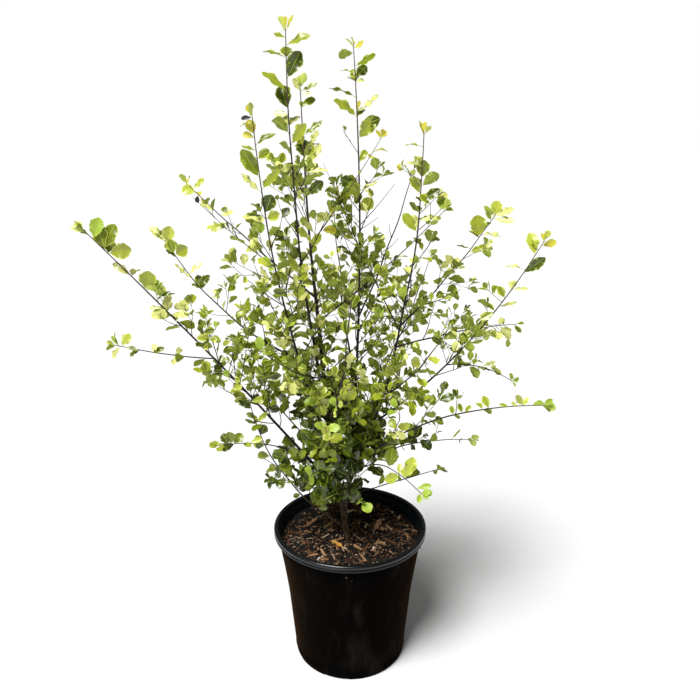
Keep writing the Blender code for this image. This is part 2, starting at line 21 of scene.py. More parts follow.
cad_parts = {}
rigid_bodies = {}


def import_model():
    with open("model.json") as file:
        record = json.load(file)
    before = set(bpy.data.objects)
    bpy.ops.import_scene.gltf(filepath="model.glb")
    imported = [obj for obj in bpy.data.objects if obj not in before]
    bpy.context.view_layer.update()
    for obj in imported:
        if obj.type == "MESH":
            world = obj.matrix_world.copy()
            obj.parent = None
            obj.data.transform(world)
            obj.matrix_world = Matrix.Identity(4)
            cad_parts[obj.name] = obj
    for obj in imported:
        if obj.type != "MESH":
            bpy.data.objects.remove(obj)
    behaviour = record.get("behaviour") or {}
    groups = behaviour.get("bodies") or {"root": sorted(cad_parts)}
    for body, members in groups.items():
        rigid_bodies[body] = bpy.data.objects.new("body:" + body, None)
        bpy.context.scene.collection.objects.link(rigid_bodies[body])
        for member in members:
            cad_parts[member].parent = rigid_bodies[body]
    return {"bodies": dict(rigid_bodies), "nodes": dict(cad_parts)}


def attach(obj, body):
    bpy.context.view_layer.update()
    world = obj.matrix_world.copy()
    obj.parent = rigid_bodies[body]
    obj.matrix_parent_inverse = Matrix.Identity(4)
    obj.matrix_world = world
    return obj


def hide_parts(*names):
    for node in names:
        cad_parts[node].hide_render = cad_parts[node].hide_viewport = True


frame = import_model()

Array = np.ndarray
Triple = tuple[float, float, float]
Section = tuple[tuple[float, float], ...]
LOG = logging.getLogger("potted_shrub")
SEED = 7
GOLDEN_ANGLE = radians(137.5)
FULL_TURN = 6.28
MILLIMETRE = 0.001
UP = np.array([0.0, 0.0, 1.0])
# Where the photograph's camera stands.
EYE = np.array([0.0, -1.1845, 0.9974])
SOIL_TOP = 0.255
POT_HEIGHT = 0.284


def unit(vector: Array) -> Array:
    """The vector at length one."""
    return vector / np.linalg.norm(vector)


def compass(azimuth: float) -> Array:
    """The level direction at this azimuth, in degrees anticlockwise from +X."""
    angle = radians(azimuth)
    return np.array([cos(angle), sin(angle), 0.0])


def srgb(red: int, green: int, blue: int) -> Triple:
    """A colour given as it looks on a screen, in the linear values that shaders take.

    Args:
        red: From 0 to 255.
        green: From 0 to 255.
        blue: From 0 to 255.

    Returns:
        The linear colour.
    """

    def linear(value: int) -> float:
        """One channel, undone from its screen curve."""
        share = value / 255
        return share / 12.92 if share <= 0.04045 else ((share + 0.055) / 1.055) ** 2.4

    return linear(red), linear(green), linear(blue)


def placed(name: str, data: ID) -> Object:
    """A new object that shows this data, linked to the scene.

    Args:
        name: Its name.
        data: The mesh, light or camera.

    Returns:
        The object.
    """
    obj = bpy.data.objects.new(name, data)
    bpy.context.scene.collection.objects.link(obj)
    return obj


# Node groups and finishes


def start_group(name: str, output: str, **inputs: float) -> tuple[NodeTree, Node, Node]:
    """Starts a shared group.

    Args:
        name: Its name.
        output: Its only output.
        inputs: Its inputs, and what each is at first.

    Returns:
        The group, and its nodes for what comes in and what goes out.
    """
    group = bpy.data.node_groups.new(name, "ShaderNodeTree")
    for socket, value in inputs.items():
        made = group.interface.new_socket(socket, in_out="INPUT", socket_type="NodeSocketFloat")
        made.default_value = value
    group.interface.new_socket(output, in_out="OUTPUT", socket_type="NodeSocketFloat")
    return group, group.nodes.new("NodeGroupInput"), group.nodes.new("NodeGroupOutput")


def grain_group() -> NodeTree:
    """The shared group that gives a fine grain, which may be drawn out along Z.

    Returns:
        The group: Scale and Flatten in, Height out.
    """
    name = "fine_grain"
    if name in bpy.data.node_groups:
        return bpy.data.node_groups[name]
    group, entry, leave = start_group(name, "Height", Scale=200.0, Flatten=1.0)
    place = group.nodes.new("ShaderNodeTexCoord")
    stretch = group.nodes.new("ShaderNodeCombineXYZ")
    stretch.inputs["X"].default_value = 1.0
    stretch.inputs["Y"].default_value = 1.0
    drawn = group.nodes.new("ShaderNodeVectorMath")
    drawn.operation = "MULTIPLY"
    cloud = group.nodes.new("ShaderNodeTexNoise")
    cloud.inputs["Detail"].default_value = 3.0
    cloud.inputs["Roughness"].default_value = 0.6
    group.links.new(entry.outputs["Flatten"], stretch.inputs["Z"])
    group.links.new(place.outputs["Object"], drawn.inputs[0])
    group.links.new(stretch.outputs[0], drawn.inputs[1])
    group.links.new(drawn.outputs[0], cloud.inputs["Vector"])
    group.links.new(entry.outputs["Scale"], cloud.inputs["Scale"])
    group.links.new(cloud.outputs[0], leave.inputs["Height"])
    return group


def patches_group() -> NodeTree:
    """The shared group that gives soft patches, for dust, moss and worn places.

    Returns:
        The group: Scale, Flatten, Low and High in, Mask out.
    """
    name = "soft_patches"
    if name in bpy.data.node_groups:
        return bpy.data.node_groups[name]
    group, entry, leave = start_group(name, "Mask", Scale=20.0, Flatten=1.0, Low=0.4, High=0.7)
    grain = group.nodes.new("ShaderNodeGroup")
    grain.node_tree = grain_group()
    ramp = group.nodes.new("ShaderNodeMapRange")
    ramp.interpolation_type = "SMOOTHSTEP"
    for socket in ("Scale", "Flatten"):
        group.links.new(entry.outputs[socket], grain.inputs[socket])
    group.links.new(grain.outputs["Height"], ramp.inputs["Value"])
    group.links.new(entry.outputs["Low"], ramp.inputs["From Min"])
    group.links.new(entry.outputs["High"], ramp.inputs["From Max"])
    group.links.new(ramp.outputs["Result"], leave.inputs["Mask"])
    return group


class Recipe:
    """A material while it is put together: its nodes, and the Principled shader that they feed."""

    def __init__(self, name: str) -> None:
        """Starts a material with the usual shader and output.

        Args:
            name: The material's name.
        """
        self.material = bpy.data.materials.new(name)
        self.material.use_nodes = True
        self.tree = self.material.node_tree
        self.shader = self.tree.nodes["Principled BSDF"]

    def settle(self, **values: float | tuple[float, ...]) -> None:
        """Sets the shader's own sockets.

        Args:
            values: Socket names, with underscores for spaces, and what each takes.
        """
        for name, value in values.items():
            self.shader.inputs[name.replace("_", " ")].default_value = value

    def shared(self, group: NodeTree, **values: float) -> NodeSocket:
        """Places a shared group with its own values.

        Args:
            group: The node group.
            values: Its inputs.

        Returns:
            The group's only output.
        """
        node = self.tree.nodes.new("ShaderNodeGroup")
        node.node_tree = group
        for name, value in values.items():
            node.inputs[name].default_value = value
        return node.outputs[0]

    def mixed(
        self,
        mask: NodeSocket,
        first: Triple | NodeSocket,
        second: Triple | NodeSocket,
    ) -> NodeSocket:
        """Mixes two colours by a mask.

        Args:
            mask: Where the second colour shows.
            first: A colour or a socket that gives one.
            second: A colour or a socket that gives one.

        Returns:
            The mixed colour.
        """
        node = self.tree.nodes.new("ShaderNodeMix")
        node.data_type = "RGBA"
        self.tree.links.new(mask, node.inputs["Factor"])
        for socket, value in ((node.inputs["A"], first), (node.inputs["B"], second)):
            target = [s for s in node.inputs if s.name == socket.name and s.type == "RGBA"][0]
            if isinstance(value, NodeSocket):
                self.tree.links.new(value, target)
            else:
                target.default_value = (*value, 1.0)
        return [s for s in node.outputs if s.type == "RGBA"][0]

    def spread(self, mask: NodeSocket, low: float, high: float) -> NodeSocket:
        """Turns a mask of 0 to 1 into a value from low to high.

        Args:
            mask: The mask.
            low: The value at 0.
            high: The value at 1.

        Returns:
            The value.
        """
        node = self.tree.nodes.new("ShaderNodeMapRange")
        node.inputs["To Min"].default_value = low
        node.inputs["To Max"].default_value = high
        self.tree.links.new(mask, node.inputs["Value"])
        return node.outputs["Result"]

    def feed(self, socket: NodeSocket, name: str) -> None:
        """Links a socket to one of the shader's inputs."""
        self.tree.links.new(socket, self.shader.inputs[name])

    def relief(self, height: NodeSocket, strength: float, depth: float) -> None:
        """Adds a bump.

        Args:
            height: What it reads.
            strength: How strong it looks.
            depth: How deep it is, in metres.
        """
        bump = self.tree.nodes.new("ShaderNodeBump")
        bump.inputs["Strength"].default_value = strength
        bump.inputs["Distance"].default_value = depth
        self.tree.links.new(height, bump.inputs["Height"])
        self.feed(bump.outputs["Normal"], "Normal")


class Tone(Enum):
    """The finishes that leaves are dealt, by spray, and those of a leaf's own parts."""

    SHADE = 0
    DEEP = 1
    MID = 2
    OLIVE = 3
    FRESH = 4
    PALE = 5
    LIME = 6
    GOLD = 7
    DEAD = 8
    RIB = 9
    UNDER = 10
    UNDER_YOUNG = 11


SHADE, DEEP, MID, OLIVE, FRESH, PALE, LIME, GOLD, DEAD, RIB, UNDER, UNDER_YOUNG = Tone


@dataclass(frozen=True)
class LeafFinish:
    """One side of a leaf: a plain colour, a leathery gloss and a fine quilted grain."""

    tone: Tone
    color: Triple
    roughness: float = 0.30
    shine: float = 0.6
    sheen_coat: float = 0.08
    quilting: float = 0.12

    def material(self) -> Material:
        """The material, with its colour on the shader's own socket.

        Returns:
            The material.
        """
        recipe = Recipe(f"leaf_{self.tone.name.lower()}")
        recipe.settle(
            Base_Color=(*self.color, 1.0),
            Roughness=self.roughness,
            Specular_IOR_Level=self.shine,
            Coat_Weight=self.sheen_coat,
            Coat_Roughness=0.25,
        )
        recipe.relief(recipe.shared(grain_group(), Scale=420.0, Flatten=1.0), self.quilting, 0.0006)
        return recipe.material


LEAF_FINISHES = (
    # SHADE and DEEP stand partly for painted shade deep in the crown; PALE stands partly for painted
    # highlight outside and high up.
    LeafFinish(SHADE, srgb(46, 58, 4)),
    LeafFinish(DEEP, srgb(69, 86, 6)),
    LeafFinish(MID, srgb(119, 134, 15)),
    LeafFinish(OLIVE, srgb(153, 163, 44)),
    LeafFinish(FRESH, srgb(190, 200, 70)),
    LeafFinish(PALE, srgb(228, 230, 136)),
    LeafFinish(LIME, srgb(160, 186, 56), roughness=0.5),
    LeafFinish(GOLD, srgb(208, 200, 62), roughness=0.5),
    LeafFinish(DEAD, srgb(22, 30, 34), roughness=0.6, sheen_coat=0.0),
    LeafFinish(RIB, srgb(168, 182, 56), roughness=0.5, sheen_coat=0.0, quilting=0.1),
    LeafFinish(UNDER, srgb(144, 160, 46), roughness=0.6, sheen_coat=0.0),
    LeafFinish(UNDER_YOUNG, srgb(200, 212, 92), roughness=0.6, sheen_coat=0.0),
)

# The paler tone that the margin of a leaf takes, high in the plant: partly the leaf's own pale edge and
# partly a painted highlight where light catches the wavy margin.
PALE_MARGINS_AND_HIGHLIGHTS = {SHADE: MID, DEEP: OLIVE, MID: FRESH, OLIVE: FRESH, FRESH: PALE}

# The rib and the underside of a leaf, where they aren't the usual ones.
BACKS = {LIME: (LIME, UNDER_YOUNG), GOLD: (GOLD, UNDER_YOUNG), DEAD: (DEAD, DEAD)}


class Wood(Enum):
    """The plain finishes that stems and twigs are dealt, by age."""

    OLD = 0
    RED = 1
    YOUNG = 2


@dataclass(frozen=True)
class TwigFinish:
    """Smooth bark of one age, with a fine grain along it."""

    wood: Wood
    color: Triple
    roughness: float

    def material(self) -> Material:
        """The material, with its colour on the shader's own socket.

        Returns:
            The material.
        """
        recipe = Recipe(f"twig_{self.wood.name.lower()}")
        recipe.settle(Base_Color=(*self.color, 1.0), Roughness=self.roughness)
        recipe.relief(recipe.shared(grain_group(), Scale=900.0, Flatten=0.3), 0.4, 0.0004)
        return recipe.material


TWIG_FINISHES = (
    TwigFinish(Wood.OLD, srgb(28, 22, 20), 0.6),
    TwigFinish(Wood.RED, srgb(48, 32, 30), 0.55),
    TwigFinish(Wood.YOUNG, srgb(78, 60, 42), 0.5),
)


@dataclass(frozen=True)
class BarkFinish:
    """Fissured bark: brown with paler worn patches at the foot, near black on the young wood."""

    crack: Triple = srgb(34, 26, 20)
    ridge: Triple = srgb(100, 76, 52)
    weathered: Triple = srgb(126, 100, 72)
    young_crack: Triple = srgb(16, 12, 12)
    young_ridge: Triple = srgb(50, 38, 34)
    old_below: float = 0.31
    young_above: float = 0.43

    def material(self) -> Material:
        """The material of the trunk and boughs.

        Returns:
            The material.
        """
        recipe = Recipe("fissured_bark")
        cracks = recipe.shared(patches_group(), Scale=420.0, Flatten=0.16, Low=0.38, High=0.62)
        worn = recipe.shared(patches_group(), Scale=60.0, Flatten=0.5, Low=0.52, High=0.75)
        old = recipe.mixed(worn, recipe.mixed(cracks, self.crack, self.ridge), self.weathered)
        young = recipe.mixed(cracks, self.young_crack, self.young_ridge)
        place = recipe.tree.nodes.new("ShaderNodeTexCoord")
        height = recipe.tree.nodes.new("ShaderNodeSeparateXYZ")
        age = recipe.tree.nodes.new("ShaderNodeMapRange")
        age.inputs["From Min"].default_value = self.old_below
        age.inputs["From Max"].default_value = self.young_above
        recipe.tree.links.new(place.outputs["Object"], height.inputs[0])
        recipe.tree.links.new(height.outputs["Z"], age.inputs["Value"])
        recipe.feed(recipe.mixed(age.outputs["Result"], old, young), "Base Color")
        recipe.feed(recipe.spread(cracks, 0.85, 0.6), "Roughness")
        recipe.relief(cracks, 0.8, 0.0006)
        return recipe.material


@dataclass(frozen=True)
class PlasticFinish:
    """Black moulded plastic with dust in thin upright streaks, and a brown-tinted sheen at grazing angles
    that is a painted warm reflection.
    """

    name: str
    color: Triple
    dust: Triple
    roughness: float
    shine: float
    # The strength and tint of a sheen that paints a warm reflection at grazing angles.
    dust_and_sheen: float = 0.0
    warm_reflection_tint: Triple = srgb(150, 114, 84)

    def material(self) -> Material:
        """The material of one part of the pot.

        Returns:
            The material.
        """
        recipe = Recipe(self.name)
        dust_and_sheen = recipe.shared(patches_group(), Scale=26.0, Flatten=0.35, Low=0.45, High=0.85)
        specks = recipe.shared(patches_group(), Scale=620.0, Flatten=0.8, Low=0.66, High=0.78)
        dusty = recipe.mixed(dust_and_sheen, self.color, self.dust)
        recipe.feed(recipe.mixed(specks, dusty, self.dust), "Base Color")
        recipe.feed(recipe.spread(dust_and_sheen, self.roughness, self.roughness + 0.2), "Roughness")
        # The brown-tinted sheen is a painted warm reflection along the grazing edges.
        recipe.settle(
            Specular_IOR_Level=self.shine,
            Sheen_Weight=self.dust_and_sheen,
            Sheen_Roughness=0.35,
            Sheen_Tint=(*self.warm_reflection_tint, 1.0),
        )
        recipe.relief(recipe.shared(grain_group(), Scale=900.0, Flatten=0.7), 0.12, 0.0003)
        return recipe.material


# The body's brown sheen is a painted warm reflection on its edges; its dust streaks are real.
PLASTIC_BODY = PlasticFinish("pot_body", srgb(6, 6, 6), srgb(30, 28, 26), 0.45, 0.0, dust_and_sheen=0.16)
# The rim's faint blue-grey tint is a painted sky reflection on the body's black plastic.
PLASTIC_RIM = PlasticFinish("pot_rim", srgb(6, 9, 11), srgb(20, 24, 27), 0.24, 0.5)
# The inside's dark teal is a painted sky reflection on the same black plastic as the body.
PLASTIC_INSIDE = PlasticFinish("pot_inside", srgb(8, 17, 22), srgb(18, 30, 36), 0.4, 0.3)


class Litter(Enum):
    """The finishes of the bits in the potting mix."""

    CHAR = 0
    UMBER = 1
    RUST = 2
    TAN = 3
    BONE = 4
    GRIT = 5


CHAR, UMBER, RUST, TAN, BONE, GRIT = Litter


@dataclass(frozen=True)
class LitterFinish:
    """One kind of bit in the mix: a plain colour with a woody grain."""

    litter: Litter
    color: Triple
    roughness: float = 0.85

    def material(self) -> Material:
        """The material, with its colour on the shader's own socket.

        Returns:
            The material.
        """
        recipe = Recipe(f"litter_{self.litter.name.lower()}")
        recipe.settle(Base_Color=(*self.color, 1.0), Roughness=self.roughness, Specular_IOR_Level=0.2)
        recipe.relief(recipe.shared(grain_group(), Scale=700.0, Flatten=1.0), 0.7, 0.0006)
        return recipe.material


LITTER_FINISHES = (
    LitterFinish(CHAR, srgb(11, 9, 7)),
    LitterFinish(UMBER, srgb(46, 32, 22)),
    LitterFinish(RUST, srgb(102, 68, 46)),
    LitterFinish(TAN, srgb(160, 122, 86)),
    LitterFinish(BONE, srgb(208, 184, 154)),
    LitterFinish(GRIT, srgb(222, 218, 208), 0.6),
)


@dataclass(frozen=True)
class HumusFinish:
    """Moist dark humus between the chips."""

    dark: Triple = srgb(7, 6, 5)
    brown: Triple = srgb(26, 20, 13)

    def material(self) -> Material:
        """The material of the bed of potting mix.

        Returns:
            The material.
        """
        recipe = Recipe("humus")
        crumbs = recipe.shared(patches_group(), Scale=260.0, Flatten=1.0, Low=0.4, High=0.68)
        recipe.feed(recipe.mixed(crumbs, self.dark, self.brown), "Base Color")
        recipe.feed(recipe.spread(crumbs, 0.7, 0.95), "Roughness")
        recipe.relief(crumbs, 0.9, 0.0015)
        return recipe.material


@dataclass(frozen=True)
class FloorFinish:
    """The pale matt floor."""

    color: Triple = (0.88, 0.88, 0.88)

    def material(self) -> Material:
        """The floor's material, with a faint unevenness.

        Returns:
            The material.
        """
        recipe = Recipe("pale_floor")
        recipe.settle(Base_Color=(*self.color, 1.0), Specular_IOR_Level=0.2)
        cloud = recipe.shared(patches_group(), Scale=1.5, Flatten=1.0, Low=0.3, High=0.7)
        recipe.feed(recipe.spread(cloud, 0.8, 0.9), "Roughness")
        return recipe.material


# Meshes


@dataclass
class MeshParts:
    """Points, faces and finishes gathered for one joined mesh."""

    points: list[Array] = field(default_factory=list)
    faces: list[list[int]] = field(default_factory=list)
    finishes: list[int] = field(default_factory=list)
    count: int = 0

    def add(self, points: Array, faces: Array, finishes: int | Array) -> None:
        """Adds one shape.

        Args:
            points: Its points, one row each.
            faces: Its faces, as rows of point numbers.
            finishes: The finish of all its faces, or of each.
        """
        self.points.append(points)
        self.faces.extend((faces + self.count).tolist())
        self.finishes.extend(np.broadcast_to(finishes, len(faces)).tolist())
        self.count += len(points)

    def build(self, name: str, materials: list[Material], smooth: bool = True) -> Object:
        """Makes the joined mesh and its object.

        Args:
            name: The piece's name.
            materials: Its materials, in the order of the finishes' numbers.
            smooth: Whether the faces are shaded smooth.

        Returns:
            The object, linked to the scene.
        """
        mesh = bpy.data.meshes.new(name)
        mesh.from_pydata(np.concatenate(self.points).tolist(), [], self.faces)
        for material in materials:
            mesh.materials.append(material)
        mesh.polygons.foreach_set("material_index", self.finishes)
        mesh.polygons.foreach_set("use_smooth", [smooth] * len(self.faces))
        mesh.update()
        return placed(name, mesh)


def sweep(points: Array, radii: Array, sides: int) -> tuple[Array, Array, Array]:
    """Rings round a line, for a tube that the caller may carve before it adds its faces.

    Args:
        points: The line.
        radii: The radius at each point.
        sides: How many points each ring has.

    Returns:
        The ring points as a table of rings by sides, the tube's faces, and the angle of each side.
    """
    tangents = np.gradient(points, axis=0)
    tangents /= np.linalg.norm(tangents, axis=1)[:, None]
    across = unit(np.cross(tangents[0], np.array([0.31, 0.77, 0.56])))
    angles = 2 * pi * np.arange(sides) / sides
    rings = []
    for point, tangent, radius in zip(points, tangents, radii):
        across = unit(across - (across @ tangent) * tangent)
        other = np.cross(tangent, across)
        rings.append(point + radius * (np.outer(np.cos(angles), across) + np.outer(np.sin(angles), other)))
    first = np.arange(len(points) - 1)[:, None] * sides
    turn = np.arange(sides)[None]
    following = (turn + 1) % sides
    faces = np.stack(
        [first + turn, first + following, first + sides + following, first + sides + turn], axis=-1
    )
    return np.array(rings), faces.reshape(-1, 4), angles


def fitted_piece(piece: Object, slot: str, *nodes: str) -> None:
    """Lets a finished piece ride with the pot and stand for its nodes.

    Args:
        piece: The finished piece.
        slot: Not used.
        nodes: The solid nodes that it stands for.
    """
    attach(piece, "root")
    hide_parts(*nodes)
    triangles = len(piece.data.loops) - 2 * len(piece.data.polygons)
    LOG.info("%s: %d triangles, stands for %d nodes", piece.name, triangles, len(nodes))


# Stem lines, as in the solids


@dataclass(frozen=True)
class Shoot:
    """One stem line, from the limb that it leaves to the furthest reach of its last leaf."""

    name: str
    parent: str
    leaves_at: float
    azimuth: float
    reach: float
    tip: float
    bow: float = 0.0
    bare: float = 0.0
    spread: float = 0.095
    bend_to: float | None = None
    leafy: float = 1.0
    vigour: float = 1.0
    tip_tone: Tone = LIME


SHOOTS = (
    Shoot("leader", "", 0.0, 180, 0.086, 1.12, bow=0.015, bare=0.65, spread=0.075, vigour=0.95),
    Shoot("second_leader", "leader", 0.3, 84, 0.081, 1.193, bow=0.022, bare=0.5, spread=0.075,
          bend_to=0, vigour=0.95, tip_tone=GOLD),
    Shoot("tall_left", "leader", 0.515, 233, 0.162, 1.184, bow=0.025, bare=0.4, spread=0.075,
          bend_to=200, tip_tone=GOLD),
    Shoot("upper_left", "leader", 0.43, 227, 0.219, 1.065, bow=0.035, bare=0.42, bend_to=180,
          vigour=0.95, tip_tone=GOLD),
    Shoot("far_left", "leader", 0.35, 200, 0.447, 0.897, bow=-0.01, bare=0.64, leafy=1.6, tip_tone=FRESH),
    Shoot("mid_left", "upper_left", 0.645, 172, 0.363, 0.851, bow=0.08, bare=0.25, vigour=0.85,
          leafy=1.3, tip_tone=FRESH),
    Shoot("back_left_high", "leader", 0.745, 154, 0.368, 0.947, bow=0.01, bare=0.25, vigour=0.7,
          tip_tone=GOLD),
    Shoot("level_left", "far_left", 0.655, 194, 0.425, 0.685, bow=0.02, vigour=0.65, leafy=1.8,
          tip_tone=FRESH),
    Shoot("low_left", "far_left", 0.42, 216, 0.281, 0.54, bow=-0.08, bare=0.25, vigour=0.55,
          leafy=1.2, tip_tone=OLIVE),
    Shoot("lowest_left", "leader", 0.277, 207, 0.216, 0.592, bow=0.1, bare=0.45, bend_to=175,
          vigour=0.6, leafy=1.2, tip_tone=FRESH),
    Shoot("tall_right", "second_leader", 0.36, 335, 0.14, 1.042, bow=0.055, bare=0.56, bend_to=25,
          vigour=0.85, tip_tone=GOLD),
    Shoot("upper_right", "tall_right", 0.695, 23, 0.32, 0.895, bow=0.03, bare=0.25, vigour=0.95,
          leafy=0.9, tip_tone=FRESH),
    Shoot("level_right", "tall_right", 0.655, 30, 0.43, 0.645, bow=-0.02, bare=0.3, vigour=0.7,
          leafy=0.9),
    Shoot("far_right", "tall_right", 0.5, 340, 0.345, 0.87, bow=0.05, bare=0.46, vigour=0.85,
          leafy=0.9, tip_tone=GOLD),
    Shoot("low_right", "tall_right", 0.415, 322, 0.385, 0.64, bow=-0.07, bare=0.3, vigour=0.6, leafy=0.5),
    Shoot("mid_right", "far_right", 0.635, 5, 0.325, 0.58, bow=-0.06, vigour=0.6, leafy=0.6),
    Shoot("drooping_right", "tall_right", 0.388, 300, 0.244, 0.477, bow=-0.13, vigour=0.7, leafy=0.6),
    Shoot("crossing_right", "leader", 0.7, 17, 0.195, 0.905, bow=0.02, bare=0.35, vigour=0.5, leafy=0.35),
    Shoot("back_right_low", "second_leader", 0.41, 22, 0.29, 0.425, bow=-0.06, vigour=0.6, leafy=0.5),
    Shoot("front_high", "leader", 0.485, 271, 0.29, 0.82, bow=0.05, bare=0.4, vigour=0.62),
    Shoot("front_mid", "leader", 0.455, 262, 0.27, 0.604, bow=0.03, vigour=0.58, leafy=1.1),
    Shoot("front_low", "leader", 0.385, 250, 0.192, 0.49, bow=-0.05, vigour=0.58),
    Shoot("front_right", "tall_right", 0.56, 298, 0.31, 0.76, bow=0.04, bare=0.3, vigour=0.62),
    Shoot("back_high", "second_leader", 0.55, 97, 0.33, 0.92, bow=0.05, bare=0.35, vigour=0.75,
          tip_tone=GOLD),
    Shoot("back_left", "second_leader", 0.45, 125, 0.39, 0.76, bow=0.04, bare=0.4, vigour=0.75,
          leafy=1.5),
    Shoot("back_right", "second_leader", 0.48, 60, 0.38, 0.78, bow=0.04, bare=0.4, vigour=0.75),
    Shoot("back_low", "second_leader", 0.39, 92, 0.3, 0.56, vigour=0.65, leafy=1.1),
    Shoot("back_left_low", "leader", 0.405, 152, 0.3, 0.59, bow=-0.02, bare=0.3, vigour=0.65),
    Shoot("front_left", "tall_left", 0.6, 242, 0.29, 0.72, bow=0.03, vigour=0.62, leafy=1.5),
    Shoot("back_right_high", "second_leader", 0.7, 52, 0.22, 0.99, bow=0.03, vigour=0.75, tip_tone=GOLD),
    Shoot("heart_front", "leader", 0.335, 278, 0.165, 0.42, vigour=0.56, leafy=1.6),
    Shoot("heart_left", "leader", 0.325, 172, 0.185, 0.42, vigour=0.56, leafy=1.1, tip_tone=MID),
    Shoot("heart_right", "second_leader", 0.345, 345, 0.185, 0.43, vigour=0.56, leafy=0.8, tip_tone=MID),
    Shoot("heart_back", "second_leader", 0.33, 82, 0.175, 0.43, vigour=0.56, leafy=1.2, tip_tone=MID),
    Shoot("heart_high_front", "leader", 0.6, 300, 0.12, 0.74, bow=0.03, vigour=0.56, leafy=1.7),
    Shoot("heart_high_back", "leader", 0.585, 118, 0.15, 0.73, bow=0.03, vigour=0.56, leafy=1.7,
          tip_tone=MID),
    Shoot("heart_high_right", "second_leader", 0.62, 20, 0.15, 0.77, bow=0.03, vigour=0.56,
          leafy=1.2, tip_tone=FRESH),
)


@dataclass(frozen=True)
class WoodSizes:
    """How thick the stems are and how they waver."""

    trunk_foot: Triple = (-0.005, -0.010, SOIL_TOP)
    trunk_radius: float = 0.0058
    flare: float = 0.0014
    flare_height: float = 0.009
    tip_radius: float = 0.0007
    taper: float = 0.0034
    taper_power: float = 0.9
    parent_share: float = 0.85
    waver: float = 0.006
    waver_turns: float = 2.3
    tip_leaf_reach: float = 0.040
    last_stretch: float = 0.026


WOOD = WoodSizes()


class StemLine:
    """The curve of one shoot: a quadratic arc from its foot to its tip, with a slight waver."""

    def __init__(self, shoot: Shoot, foot: Array, foot_radius: float) -> None:
        """Works out the arc.

        Args:
            shoot: What it is the line of.
            foot: Where it starts.
            foot_radius: How thick it starts.
        """
        self.shoot = shoot
        self.foot = np.array(foot)
        furthest = compass(shoot.azimuth) * shoot.reach + np.array([0.0, 0.0, shoot.tip])
        along = unit(furthest - self.foot)
        self.tip = furthest - WOOD.tip_leaf_reach * along
        self.length = float(np.linalg.norm(self.tip - self.foot))
        toward = -UP if shoot.bend_to is None else compass(shoot.bend_to)
        bulge = unit(toward - (toward @ along) * along)
        self.control = (self.foot + self.tip) / 2 + 2 * shoot.bow * self.length * bulge
        self.side = np.cross(along, bulge)
        self.foot_radius = foot_radius
        self.end_share = 1.0 + WOOD.last_stretch / self.length

    def point(self, share: float | Array) -> Array:
        """The place at this share of the line, which may run a little past its end.

        Args:
            share: One share, or many.

        Returns:
            The place, or a row for each share.
        """
        share = np.asarray(share, float)[..., None]
        inside = np.clip(share, 0, 1)
        left = 1 - inside
        arc = left**2 * self.foot + 2 * inside * left * self.control + inside**2 * self.tip
        swing = np.sin(2 * pi * WOOD.waver_turns * inside + radians(self.shoot.azimuth))
        arc = arc + self.side * WOOD.waver * self.length * swing * 4 * inside * (1 - inside)
        return arc + (share - inside) * 2 * (self.tip - self.control)

    def heading(self, share: float) -> Array:
        """The line's direction at this share of it."""
        step = 0.01
        return unit(self.point(share + step) - self.point(share - step))

    def radius(self, share: float) -> float:
        """The wood's radius at this share of the line, flared where it leaves the soil.

        Args:
            share: The share of the line.

        Returns:
            The radius.
        """
        left = max(0.0, 1 - share / self.end_share)
        radius = WOOD.tip_radius + (self.foot_radius - WOOD.tip_radius) * left**WOOD.taper_power
        if not self.shoot.parent:
            radius += WOOD.flare * exp(-share * self.length / WOOD.flare_height)
        return radius

    def share_at_height(self, height: float) -> float:
        """The share of the line where it passes this height.

        Args:
            height: The height.

        Returns:
            The share, from 0 to 1.
        """
        shares = np.linspace(0, 1, 200)
        heights = np.maximum.accumulate(self.point(shares)[:, 2])
        return float(np.interp(height, heights, shares))


def stem_lines() -> dict[str, StemLine]:
    """Each shoot's line by name, every parent before its children.

    Returns:
        The lines.
    """
    lines: dict[str, StemLine] = {}
    for shoot in SHOOTS:
        if not shoot.parent:
            lines[shoot.name] = StemLine(shoot, np.array(WOOD.trunk_foot), WOOD.trunk_radius)
            continue
        parent = lines[shoot.parent]
        share = parent.share_at_height(shoot.leaves_at)
        line = StemLine(shoot, parent.point(share), 0.0)
        wanted = WOOD.tip_radius + WOOD.taper * line.length
        line.foot_radius = min(wanted, WOOD.parent_share * parent.radius(share))
        lines[shoot.name] = line
    return lines


@dataclass(frozen=True)
class Spot:
    """A place where the photograph shows the crown more open or closer than the rule makes it.

    It is a round patch of the upright plane through the pot's middle, seen from the camera's
    place. Below 1, its density is the share of leaves and twigs that stay. Above 1, it is how
    much closer the side twigs stand.
    """

    x: float
    z: float
    radius: float
    density: float


